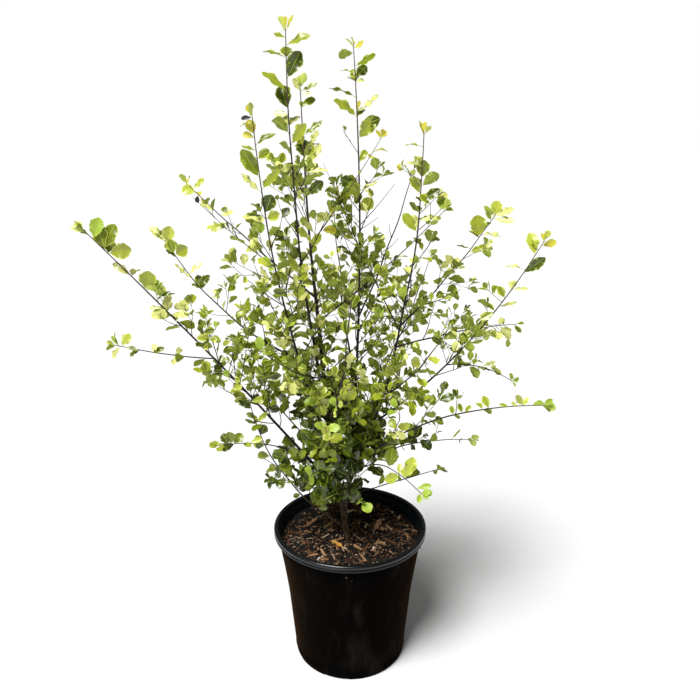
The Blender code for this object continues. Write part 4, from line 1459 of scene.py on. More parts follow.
class Growth:
    """Sets the finer twigs and the leaves of one line."""

    def __init__(self, crown: Crown, line: StemLine, habit: Habit) -> None:
        """Starts the line's own seeded chance.

        Args:
            crown: The room that all lines share.
            line: The line to grow on.
            habit: How close and how leafy the growth is.
        """
        self.crown = crown
        self.line = line
        self.shoot = line.shoot
        self.habit = habit
        self.chance = random.Random(f"{SEED} {line.shoot.name}")
        self.twigs: list[TwigPath] = []
        self.leaves: list[Leaf] = []

    def crowding_at(self, place: Array) -> float:
        """How much closer the growth is in the middle of the crown, from 1 outside to its most.

        Args:
            place: The place.

        Returns:
            How many times as close.
        """
        out = hypot(place[0] - self.habit.core_middle, place[1]) / self.habit.core_radius
        height = float(np.interp(place[2], (0.36, 0.48, 0.66, 0.9), (1.0, 1.0, 0.55, 0.1)))
        return 1 + self.habit.core * height * max(0.0, 1 - out)

    def lowness(self, place: Array) -> float:
        """How far a place lies in the dense low middle of the crown, from 0 to 1.

        Args:
            place: The place.

        Returns:
            0 outside it, 1 at its heart.
        """
        habit = self.habit
        low = 1 - (place[2] - habit.low_height) / habit.low_depth
        inward = 1 - (hypot(place[0], place[1]) - habit.low_radius) / habit.low_width
        return float(np.clip(low, 0, 1) * np.clip(inward, 0, 1))

    def spray_tone(self, place: Array) -> Tone:
        """The tone that a spray is dealt: darker low inside the crown, partly older leaves and partly
        painted shade, and paler outside, partly fresh growth and partly painted light.

        Args:
            place: Where the spray ends.

        Returns:
            The tone.
        """
        habit, out, height = self.habit, hypot(place[0], place[1]), place[2]
        depth = max(0.0, 1 - out / habit.shade_radius)
        depth = depth * max(0.0, 1 - (height - habit.shade_from) / habit.shade_height)
        # Darker tones deep and low in the crown: partly older leaves, partly painted shade.
        if self.chance.random() < habit.shade_most * depth:
            return SHADE if self.chance.random() < habit.shade_darkest else DEEP
        # Paler tones outside and high up: partly fresh growth, partly painted light.
        outward = (out - habit.airy_radius) / habit.airy_width
        airy = float(np.clip(max(outward, (height - habit.airy_from) / habit.airy_width), 0, 1))
        weights = [share + more * airy for share, more in SPRAY_SHARES.values()]
        return self.chance.choices(list(SPRAY_SHARES), weights)[0]

    def form(self, *ranges: tuple[float, float]) -> dict[str, float | tuple[float, float]]:
        """Deals a leaf's curl.

        Args:
            ranges: The least and the most droop, fold in degrees, wave and number of waves.

        Returns:
            The leaf's fields.
        """
        droop, fold, wave, waves = ranges
        deal = self.chance.uniform
        return {
            "droop": deal(*droop),
            "fold": radians(deal(*fold)),
            "wave": deal(*wave),
            "phases": (deal(0, FULL_TURN), deal(0, FULL_TURN)),
            "waves": deal(*waves),
        }

    def add_leaf(
        self, foot: Array, heading: Array, turn: float, lean: float, tone: Tone, length: float
    ) -> None:
        """Sets a leaf if it fits, trying a few turns round the twig and then a smaller size.

        Args:
            foot: Where its stalk starts.
            heading: The twig's direction there.
            turn: Where round the twig it stands.
            lean: How far it leans off the twig, in degrees.
            tone: Its finish.
            length: How long its blade is.
        """
        habit, chance = self.habit, self.chance
        lowness = self.lowness(foot)
        length *= chance.uniform(0.76 + 0.12 * lowness, 1.2 - 0.08 * lowness)
        large = float(np.clip((length - 0.022) / 0.014, 0, 1))
        breadth = habit.oval_breadth + lowness * (habit.round_breadth - habit.oval_breadth)
        breadth += large * (habit.long_breadth - breadth)
        breadth *= chance.uniform(0.82, 1.12)
        lean = radians(lean * chance.uniform(0.75, 1.25))
        roll = chance.gauss(0.0, 0.9 - 0.5 * lowness)
        outward = lowness * unit(np.array([foot[0], foot[1], 0.0]))
        form = self.form((-0.35, 0.9), (2, 26), (0.035, 0.10), (1.3, 2.5))
        for size in habit.leaf_sizes:
            along = unit(turned(heading, turn, lean) + habit.leaf_rise * UP)
            level = 0.75 * UP + 0.8 * heading + outward
            face = unit(level - (level @ along) * along)
            side = np.cross(face, along)
            face = unit(face * cos(roll) + side * sin(roll))
            petiole = habit.petiole * (0.5 + 20 * length)
            leaf = Leaf(foot, along, face, size * length, breadth, tone, petiole=petiole, **form)
            room = habit.crowding * size * length
            if chance.random() > self.crown.density_at(leaf.middle()):
                return
            if self.crown.has_room(leaf.middle(), room) and self.keeps(leaf.test_points()):
                self.leaves.append(leaf)
                self.crown.take([leaf.middle()], [room])
                return
            turn += GOLDEN_ANGLE / 2

    def set_leaf(
        self,
        foot: Array,
        along: Array,
        toward: Array,
        length: float,
        breadth: float,
        tone: Tone,
    ) -> None:
        """Sets a leaf where it is wanted, and records the room that it takes.

        Args:
            foot: Where its stalk starts.
            along: The direction that it points.
            toward: Roughly where its upper side faces.
            length: How long its blade is.
            breadth: Its breadth as a share of the length.
            tone: Its finish.
        """
        face = unit(toward - (toward @ along) * along)
        form = self.form((-0.4, 0.9), (2, 24), (0.05, 0.11), (1.5, 2.8))
        leaf = Leaf(foot, along, face, length, breadth, tone, petiole=0.12 * length, **form)
        self.leaves.append(leaf)
        self.crown.take([leaf.middle()], [self.habit.crowding * length])

    def add_tip_leaves(self) -> float:
        """Sets the shoot's own leaves and twigs near its end, and a few more behind the stem.

        Returns:
            How far below the stem's end the rule takes over.
        """
        line, habit, chance = self.line, self.habit, self.chance
        total = line.end_share * line.length
        lowest = 0.0
        for row in (TipLeaf(*fields) for fields in TIP_LEAVES.get(self.shoot.name, ())):
            lowest = MILLIMETRE * row.from_end
            foot = line.point((total - lowest) / line.length)
            veer, rise, facing = chance.uniform(-26, 26), radians(row.rise), radians(row.facing)
            level = compass(row.azimuth + veer) * cos(rise) / cos(radians(veer))
            along = level + UP * sin(rise)
            length = habit.tip_leaf_scale * row.length * float(np.linalg.norm(along))
            toward = UP * cos(facing) - np.array([0.0, sin(facing), 0.0])
            self.set_leaf(foot, unit(along), toward, length, row.breadth, row.tone)
            if chance.random() < habit.hidden_share and lowest > 0.03:
                behind = unit(compass(chance.uniform(55, 125)) + chance.uniform(0.4, 1.0) * UP)
                self.set_leaf(foot, behind, UP, habit.hidden_leaf * self.shoot.vigour, 0.7, row.tone)
        for row in (TipTwig(*fields) for fields in TIP_TWIGS.get(self.shoot.name, ())):
            share = (total - MILLIMETRE * row.from_end) / line.length
            along = unit(compass(row.azimuth + chance.uniform(-20, 20)) + tan(radians(row.rise)) * UP)
            marks = np.linspace(0, 1, 6)[:, None]
            points = line.point(share) + MILLIMETRE * row.length * (along * marks + 0.10 * UP * marks**2)
            twig = TwigPath(points, 0.0006 + 0.0000036 * row.length, habit.twig_end_radius, Wood.RED)
            self.twigs.append(twig)
            self.leaf_twig(twig, 1, row.tone)
        return lowest

    def keeps(self, points: Array) -> bool:
        """Whether the points keep to the foliage's reach."""
        return self.crown.holds(self.shoot.name, self.shoot.spread, points)

    def add_rosette(self, tip: Array, heading: Array, tone: Tone, size: float) -> None:
        """Sets the few upright young leaves at the end of a stem.

        Args:
            tip: The end of the stem.
            heading: Its direction there.
            tone: Their finish.
            size: The length of the largest.
        """
        turn = self.chance.uniform(0, FULL_TURN)
        for index, lean in enumerate(self.habit.rosette_leans):
            foot = tip - heading * self.habit.rosette_step * index
            self.add_leaf(foot, heading, turn, lean, tone, size * (0.62 + 0.13 * index))
            turn += GOLDEN_ANGLE

    def add_twig(
        self, start: Array, heading: Array, turn: float, room: float, radius: float, order: int
    ) -> None:
        """Sets a side twig if it fits, or a shorter one, with its own twiglets and leaves.

        Args:
            start: Where it leaves its parent.
            heading: Its parent's direction there.
            turn: Where round the parent it stands.
            room: How long it may be.
            radius: Its parent's radius there.
            order: 1 for a twig on a stem, 2 for a twiglet on a twig.
        """
        habit, chance = self.habit, self.chance
        for size in habit.twig_sizes:
            lean = radians(habit.twig_lean * chance.uniform(0.75, 1.2))
            along = unit(turned(heading, turn, lean) + habit.twig_rise * UP)
            length = size * room * chance.uniform(0.85, 1.1)
            if length < habit.shortest_twig:
                return
            marks = np.linspace(0, 1, 6)[:, None]
            rise = unit(UP - (UP @ along) * along)
            sway = np.cross(along, rise) * chance.uniform(-habit.twig_sway, habit.twig_sway)
            arch = along * marks + rise * habit.twig_arch * marks**2
            points = start + length * (arch + sway * np.sin(2 * pi * marks))
            if chance.random() > self.crown.density_at(points[-1]):
                return
            if self.keeps(points[2:]):
                break
            turn += GOLDEN_ANGLE
        else:
            return
        wood = Wood.RED if order == 1 else Wood.YOUNG
        foot_radius = min(0.7 * radius, 0.00055 + 0.0085 * length)
        twig = TwigPath(points, foot_radius, habit.twig_end_radius, wood)
        self.twigs.append(twig)
        self.leaf_twig(twig, order)

    def leaf_twig(self, twig: TwigPath, order: int, dealt: Tone | None = None) -> None:
        """Sets the leaves of a side twig, and twiglets on a long one.

        Args:
            twig: The twig.
            order: 1 for a twig on a stem, 2 for a twiglet on a twig.
            dealt: The tone of its leaves, where it isn't left to chance.
        """
        chance, habit = self.chance, self.habit
        length = twig.length()
        tone = dealt or self.spray_tone(twig.points[-1])
        tip, heading = twig.at(length)
        lowness = self.lowness(tip)
        size = self.twig_leaf_length(tip)
        young = LIME if tone in (FRESH, LIME) and chance.random() < 0.5 else tone
        self.add_rosette(tip, heading, young, (0.85 + 0.25 * lowness) * size)
        turn = chance.uniform(0, FULL_TURN)
        distance = length - 0.7 * habit.twig_leaf_pitch
        while distance > 0.008:
            place, heading = twig.at(distance)
            if chance.random() < 0.78 + 0.22 * lowness:
                self.add_leaf(place, heading, turn, habit.leaf_lean, tone, size)
            turn += GOLDEN_ANGLE
            distance -= habit.twig_leaf_pitch * chance.uniform(0.7, 1.3) * (1 - 0.35 * lowness)
        if order == 1 and length > habit.twiglets_from:
            distance = (0.3 if lowness else 0.45) * length
            while distance < 0.8 * length:
                place, heading = twig.at(distance)
                self.add_twig(place, heading, turn, 0.5 * (length - distance) + 0.010, twig.foot_radius, 2)
                turn += GOLDEN_ANGLE * 1.4
                distance += 0.030 if lowness else 0.045

    def stem_leaf_length(self, from_tip: float) -> float:
        """How long a leaf on the stem is: young at the tip, largest below it, smaller further in.

        Args:
            from_tip: How far below the stem's end it stands.

        Returns:
            Its length.
        """
        marks = (0.0, 0.012, 0.032, 0.14, 0.22, 0.36, 0.50)
        shares = (0.35, 0.5, 0.95, 0.95, 0.64, 0.52, 0.48)
        return self.habit.tip_leaf * self.shoot.vigour * float(np.interp(from_tip, marks, shares))

    def twig_leaf_length(self, place: Array) -> float:
        """How long the leaves of a side twig are, by where the twig ends.

        Args:
            place: The twig's end.

        Returns:
            Their length.
        """
        habit = self.habit
        high = float(np.interp(place[2], (0.70, 1.0), (0.0, 1.0)))
        lowness = self.lowness(place)
        size = habit.twig_leaf + high * habit.high_gain + lowness * habit.low_gain
        return size * (1 + (1 - 0.7 * lowness) * self.chance.uniform(-0.15, 0.2))

    def grow(self) -> "Growth":
        """Grows the line's foliage from its tip down, then the short spurs on its bare part.

        Returns:
            This growth.
        """
        line, habit, chance, shoot = self.line, self.habit, self.chance, self.shoot
        tip, heading = line.point(line.end_share), line.heading(line.end_share)
        self.add_rosette(tip, heading, shoot.tip_tone, habit.rosette_leaf)
        tone = self.spray_tone(tip)
        total = line.end_share * line.length
        foliage = total - shoot.bare * line.length
        turn = chance.uniform(0, FULL_TURN)
        from_tip = 0.013 + self.add_tip_leaves()
        while from_tip < foliage - 0.008:
            share = (total - from_tip) / line.length
            place = line.point(share)
            likely = float(np.interp(from_tip, (0.0, 0.10, 0.25), (1.0, 0.85, 0.45)))
            if chance.random() < likely * max(1.0, self.crown.density_at(place)):
                length = self.stem_leaf_length(from_tip)
                self.add_leaf(place, line.heading(share), turn, habit.leaf_lean, tone, length)
            if chance.random() < 0.2:
                tone = self.spray_tone(tip)
            turn += GOLDEN_ANGLE
            from_tip += habit.stem_leaf_pitch * chance.uniform(0.8, 1.3)
        turn = chance.uniform(0, FULL_TURN)
        from_tip = habit.first_twig
        while from_tip < foliage - 0.012:
            share = (total - from_tip) / line.length
            place = line.point(share)
            grown = float(np.interp(from_tip, (0.15, 0.42), (0.18, 1.0)))
            room = habit.twig_length * grown * chance.uniform(0.6, 1.1)
            self.add_twig(place, line.heading(share), turn, room, line.radius(share), 1)
            turn += GOLDEN_ANGLE
            crowded = self.crowding_at(place) * max(1.0, self.crown.density_at(place))
            from_tip += habit.twig_pitch * chance.uniform(0.7, 1.3) / (shoot.leafy * crowded)
        while from_tip < total - 0.02:
            share = (total - from_tip) / line.length
            place = line.point(share)
            if place[2] > habit.lowest_spur:
                room = habit.spur_length * chance.uniform(0.4, 1.0)
                self.add_twig(place, line.heading(share), turn, room, line.radius(share), 1)
            turn += GOLDEN_ANGLE
            crowded = self.crowding_at(place)
            from_tip += habit.spur_pitch * chance.uniform(0.7, 1.3) / (shoot.leafy * crowded)
        return self


class Region(Enum):
    """The parts of the crown that leaves are joined by."""

    LOW = "leaves_low"
    LEFT = "leaves_left"
    RIGHT = "leaves_right"
    HIGH_LEFT = "leaves_high_left"
    HIGH_RIGHT = "leaves_high_right"
    FRONT = "leaves_front"
    BACK_LEFT = "leaves_back_left"
    BACK_RIGHT = "leaves_back_right"


@dataclass
class Foliage:
    """All twigs and leaves of the crown, joined by kind and by region."""

    lines: dict[str, StemLine]
    habit: Habit = field(default_factory=Habit)
    fine: BladeMesher = field(default_factory=BladeMesher)
    plain: BladeMesher = field(
        default_factory=lambda: BladeMesher(rows=7, columns=(-1.0, -0.55, -0.05, 0.05, 0.55, 1.0))
    )
    fine_from: float = 0.025
    low_below: float = 0.47
    high_above: float = 0.93
    high_middle: float = -0.02
    back_beyond: float = 0.10
    front_beyond: float = -0.15
    ring_gap: float = 0.012
    red_from: float = 0.62
    young_from: float = 0.86

    def region_of(self, line: StemLine) -> Region:
        """The region that a line's leaves are joined with.

        Args:
            line: The line.

        Returns:
            Its region.
        """
        x, y, z = line.tip
        if line.shoot.name.startswith("heart") or z < self.low_below:
            return Region.LOW
        if z > self.high_above:
            return Region.HIGH_LEFT if x < self.high_middle else Region.HIGH_RIGHT
        if y > self.back_beyond:
            return Region.BACK_LEFT if x < 0 else Region.BACK_RIGHT
        if y < self.front_beyond:
            return Region.FRONT
        return Region.LEFT if x < 0 else Region.RIGHT

    def build(self) -> None:
        """Grows every line and makes the joined pieces."""
        crown = Crown(self.lines)
        growths = [Growth(crown, line, self.habit).grow() for line in self.lines.values()]
        materials = [finish.material() for finish in LEAF_FINISHES]
        for region in Region:
            parts = MeshParts()
            nodes = []
            for growth in growths:
                if self.region_of(growth.line) is region:
                    nodes.append(f"foliage_{growth.shoot.name}")
                    for leaf in growth.leaves:
                        mesher = self.fine if leaf.length > self.fine_from else self.plain
                        mesher.add(leaf, parts)
            fitted_piece(parts.build(region.value, materials), "foliage", *nodes)
        self.build_twigs(growths)
        LOG.info("leaves in all: %d", sum(len(growth.leaves) for growth in growths))

    def build_twigs(self, growths: list[Growth]) -> None:
        """Makes the joined mesh of the stems inside the foliage and of all side twigs.

        Args:
            growths: What grew on each line.
        """
        parts = MeshParts()
        for growth in growths:
            line = growth.line
            start = max(0.0, growth.shoot.bare - 0.01)
            count = max(6, round((line.end_share - start) * line.length / self.ring_gap))
            shares = np.linspace(start, line.end_share, count)
            radii = np.array([line.radius(float(share)) for share in shares])
            rings, faces, _ = sweep(line.point(shares), radii, 6)
            woods = np.where(shares[:-1] > self.red_from, Wood.RED.value, Wood.OLD.value)
            woods = np.where(shares[:-1] > self.young_from, Wood.YOUNG.value, woods)
            parts.add(rings.reshape(-1, 3), faces, np.repeat(woods, 6))
            for twig in growth.twigs:
                radii = np.linspace(twig.foot_radius, twig.tip_radius, len(twig.points))
                rings, faces, _ = sweep(twig.points, radii, 4)
                parts.add(rings.reshape(-1, 3), faces, twig.wood.value)
        piece = parts.build("twigs", [finish.material() for finish in TWIG_FINISHES])
        fitted_piece(piece, "bark", *(f"foliage_{name}" for name in self.lines))


@dataclass
class Limbs:
    """The trunk and boughs, with fissures carved along them and collars where they fork."""

    lines: dict[str, StemLine]
    trunk_sides: int = 24
    bough_sides: int = 14
    ring_gap: float = 0.0035
    fissure_depth: float = 0.10
    collar: float = 0.35
    collar_length: float = 0.008
    unevenness: float = 0.06

    def carved(self, line: StemLine, sides: int) -> tuple[Array, Array]:
        """One limb's points and faces, with its bark's relief.

        Args:
            line: The limb's line.
            sides: How many points each ring has.

        Returns:
            The points and the faces.
        """
        end = min(1.0, line.shoot.bare + 0.012)
        count = max(8, round(end * line.length / self.ring_gap))
        shares = np.linspace(0, end, count)
        distances = shares * line.length
        radii = np.array([line.radius(float(share)) for share in shares])
        if line.shoot.parent:
            radii = radii * (1 + self.collar * np.exp(-distances / self.collar_length))
        points = line.point(shares)
        rings, faces, angles = sweep(points, radii, sides)
        for ring in range(count):
            for side, angle in enumerate(angles):
                around = Vector((3.2 * cos(angle), 3.2 * sin(angle), 22 * distances[ring]))
                bump = noise.noise(around + Vector((0, 0, line.shoot.azimuth)))
                coarse = noise.noise(Vector((0.8 * cos(angle), 0.8 * sin(angle), 55 * distances[ring])))
                grow = 1 + self.fissure_depth * bump + self.unevenness * coarse
                rings[ring, side] = points[ring] + (rings[ring, side] - points[ring]) * grow
        return rings.reshape(-1, 3), faces

    def build(self) -> None:
        """Makes the joined bark of the trunk, the second trunk and the boughs."""
        names = {"leader": "trunk", "second_leader": "trunk_second"}
        parts = MeshParts()
        nodes = []
        for name, line in self.lines.items():
            if line.shoot.bare:
                sides = self.trunk_sides if name in names else self.bough_sides
                points, faces = self.carved(line, sides)
                parts.add(points, faces, 0)
                nodes.append(names.get(name, f"bough_{name}"))
        fitted_piece(parts.build("bark_of_limbs", [BarkFinish().material()]), "bark", *nodes)


# Pot and potting mix


def lathed(name: str, profile: list[tuple[float, float]], steps: int) -> Object:
    """A body of revolution round Z.

    Args:
        name: The object's name.
        profile: Points of radius and height, from the axis up the inside and down the outside.
        steps: How many steps make the turn.

    Returns:
        The object, with its turn applied.
    """
    mesh = bpy.data.meshes.new(name)
    edges = [(index, index + 1) for index in range(len(profile) - 1)]
    mesh.from_pydata([(radius, 0.0, height) for radius, height in profile], edges, [])
    obj = placed(name, mesh)
    screw = obj.modifiers.new("Turn", "SCREW")
    screw.axis = "Z"
    screw.steps = steps
    screw.render_steps = steps
    screw.use_merge_vertices = True
    screw.merge_threshold = 0.00002
    apply_modifiers(obj)
    return obj


def apply_modifiers(obj: Object) -> None:
    """Keeps the shape that an object's modifiers give it as its mesh.

    Args:
        obj: The object.
    """
    graph = bpy.context.evaluated_depsgraph_get()
    graph.update()
    mesh = bpy.data.meshes.new_from_object(obj.evaluated_get(graph))
    obj.modifiers.clear()
    obj.data = mesh


@dataclass
class NurseryPot:
    """The round black pot: rolled rim over a stepped lip, tapered wall, ridged foot with drains."""

    rim_radius: float = 0.1525
    rim_width: float = 0.009
    base_radius: float = 0.1125
    taper: float = 0.091
    flare: float = 0.0076
    flare_from: float = 0.14
    flare_power: float = 1.3
    wall_top: float = 0.269
    wall: float = 0.0028
    floor: float = 0.006
    rim_section: Section = (
        (-0.0070, -0.0004), (-0.0050, 0.0), (-0.0030, -0.0001), (-0.0014, -0.0009),
        (-0.0004, -0.0022), (0.0, -0.0040), (-0.0003, -0.0060), (-0.0012, -0.0072),
        (-0.0018, -0.0078), (-0.0019, -0.0084), (-0.0012, -0.0092), (-0.0005, -0.0110),
        (-0.0002, -0.0126), (-0.0010, -0.0132), (-0.0040, -0.0130),
    )
    foot_section: Section = (
        (0.0018, 0.0136), (0.0020, 0.0130), (0.0016, 0.0122), (0.0008, 0.0116), (0.0006, 0.0085),
        (0.0003, 0.0040), (-0.0003, 0.0014), (-0.0012, 0.0004), (-0.0024, 0.0), (-0.0300, 0.0),
    )
    lip_section: Section = (
        (-0.0017, 0.2680), (-0.0012, 0.2700), (-0.0002, 0.2712), (0.0, 0.2730), (0.0, 0.2800),
        (0.0004, 0.2822), (0.0011, 0.2834),
    )
    steps: int = 144
    drains: int = 6
    first_drain: float = -104.0
    drain_size: Triple = (0.032, 0.050, 0.007)
    clip_slot: float = 160.0
    slot_size: Triple = (0.0050, 0.032, 0.013)
    clip_hole: float = -10.0
    hole_size: Triple = (0.0062, 0.0062, 0.013)

    def wall_radius(self, height: float) -> float:
        """The wall's outer radius at a height: an even taper that flares towards the rim."""
        flared = max(0.0, height - self.flare_from) / (self.wall_top - self.flare_from)
        return self.base_radius + self.taper * height + self.flare * flared**self.flare_power

    def outer_profile(self) -> list[tuple[float, float]]:
        """The outside, from the rim's crown down to the middle of the underside.

        Returns:
            Points of radius and height.
        """
        crown = [(self.rim_radius + out, POT_HEIGHT + up) for out, up in self.rim_section]
        crown.append((self.wall_radius(self.wall_top) + 0.0006, self.wall_top + 0.0016))
        wall = [(self.wall_radius(float(z)), float(z)) for z in np.linspace(self.wall_top, 0.0145, 22)]
        foot = [(self.base_radius + out, up) for out, up in self.foot_section]
        return crown + wall + foot + [(0.0, 0.0)]

    def inner_profile(self) -> list[tuple[float, float]]:
        """The inside, from the middle of the floor up to the rim.

        Returns:
            Points of radius and height.
        """
        inner = self.rim_radius - self.rim_width
        corner = self.base_radius - self.wall
        return [
            (0.0, self.floor),
            (corner - 0.006, self.floor),
            (corner, self.floor + 0.006),
            *((self.wall_radius(float(z)) - self.wall, float(z)) for z in np.linspace(0.04, 0.25, 15)),
            *((inner + out, height) for out, height in self.lip_section),
        ]

    def cutter(
        self, place: Array, azimuth: float, size: Triple, rounded: bool
    ) -> Object:
        """A helper block that cuts a drain, a slot or a hole.

        Args:
            place: Its middle.
            azimuth: Which way it is turned, in degrees.
            size: Its size outwards, across and up.
            rounded: Whether it is a rod in place of a block.

        Returns:
            The hidden helper.
        """
        work = bmesh.new()
        if rounded:
            bmesh.ops.create_cone(work, cap_ends=True, segments=20, radius1=0.5, radius2=0.5, depth=1.0)
        else:
            bmesh.ops.create_cube(work, size=1.0)
            upright = [edge for edge in work.edges if abs((edge.verts[0].co - edge.verts[1].co).z) > 0.5]
            bmesh.ops.bevel(work, geom=upright, offset=0.18, segments=3, affect="EDGES")
        bmesh.ops.scale(work, vec=size, verts=work.verts)
        mesh = bpy.data.meshes.new("pot_cutter")
        work.to_mesh(mesh)
        work.free()
        helper = placed("pot_cutter", mesh)
        helper.location = place
        helper.rotation_euler.z = radians(azimuth)
        return helper

    def cut(self, pot: Object) -> None:
        """Cuts the drains at the foot and the hanger's slot and hole in the rim.

        Args:
            pot: The turned pot.
        """
        helpers = []
        for index in range(self.drains):
            azimuth = self.first_drain + 360 * index / self.drains
            foot = compass(azimuth) * self.base_radius
            helpers.append(self.cutter(foot, azimuth, self.drain_size, False))
        rim_middle = self.rim_radius - 0.4 * self.rim_width
        slot_place = compass(self.clip_slot) * rim_middle + UP * POT_HEIGHT
        helpers.append(self.cutter(slot_place, self.clip_slot, self.slot_size, False))
        hole_place = compass(self.clip_hole) * (rim_middle - 0.001) + UP * POT_HEIGHT
        helpers.append(self.cutter(hole_place, self.clip_hole, self.hole_size, True))
        for helper in helpers:
            cut = pot.modifiers.new(helper.name, "BOOLEAN")
            cut.operation = "DIFFERENCE"
            cut.object = helper
        apply_modifiers(pot)
        for helper in helpers:
            bpy.data.objects.remove(helper)

    def dress(self, pot: Object) -> None:
        """Gives the rim, the inside and the body their own finishes.

        Args:
            pot: The cut pot.
        """
        pot.data.materials.clear()
        for finish in (PLASTIC_BODY, PLASTIC_RIM, PLASTIC_INSIDE):
            pot.data.materials.append(finish.material())
        for face in pot.data.polygons:
            radius = hypot(face.center.x, face.center.y)
            outward = Vector((face.center.x, face.center.y, 0)).dot(face.normal)
            below = POT_HEIGHT - face.center.z
            if 0.0012 < below < 0.0120 and self.rim_radius - 0.0080 < radius < self.rim_radius - 0.0016:
                face.material_index = 2
            elif below < 0.0137 and radius > self.rim_radius - self.rim_width + 0.0002:
                face.material_index = 1
            elif outward < 0 or (face.center.z > 0.02 and radius < 0.1):
                face.material_index = 2
            else:
                face.material_index = 0
        pot.data.shade_smooth()
        pot.data.set_sharp_from_angle(angle=radians(42))

    def build(self) -> None:
        """Makes the pot."""
        pot = lathed("nursery_pot", self.inner_profile() + self.outer_profile(), self.steps)
        self.cut(pot)
        self.dress(pot)
        fitted_piece(pot, "pot_plastic", "pot")


# The chips that stand out, as x, y, yaw in degrees, length and finish.
PLACED_CHIPS = (
    (-0.080, 0.045, 50, 0.035, TAN), (-0.045, 0.035, 45, 0.027, TAN),
    (-0.050, -0.005, 40, 0.018, BONE), (0.000, 0.085, 30, 0.019, BONE),
    (0.040, 0.090, 35, 0.030, TAN), (0.080, -0.025, -50, 0.040, RUST),
    (0.055, -0.025, 65, 0.019, TAN), (0.045, -0.050, 65, 0.016, BONE),
    (0.075, -0.065, 65, 0.018, TAN), (-0.060, -0.055, -70, 0.021, TAN),
    (-0.085, -0.045, 50, 0.014, RUST), (-0.060, -0.080, 60, 0.009, GRIT),
    (0.115, 0.005, -75, 0.034, TAN), (0.100, 0.020, -25, 0.027, RUST),
    (0.025, -0.080, -70, 0.028, TAN), (-0.110, 0.010, 30, 0.024, RUST),
    (-0.030, 0.105, 10, 0.024, UMBER), (0.070, 0.100, -35, 0.026, UMBER),
)


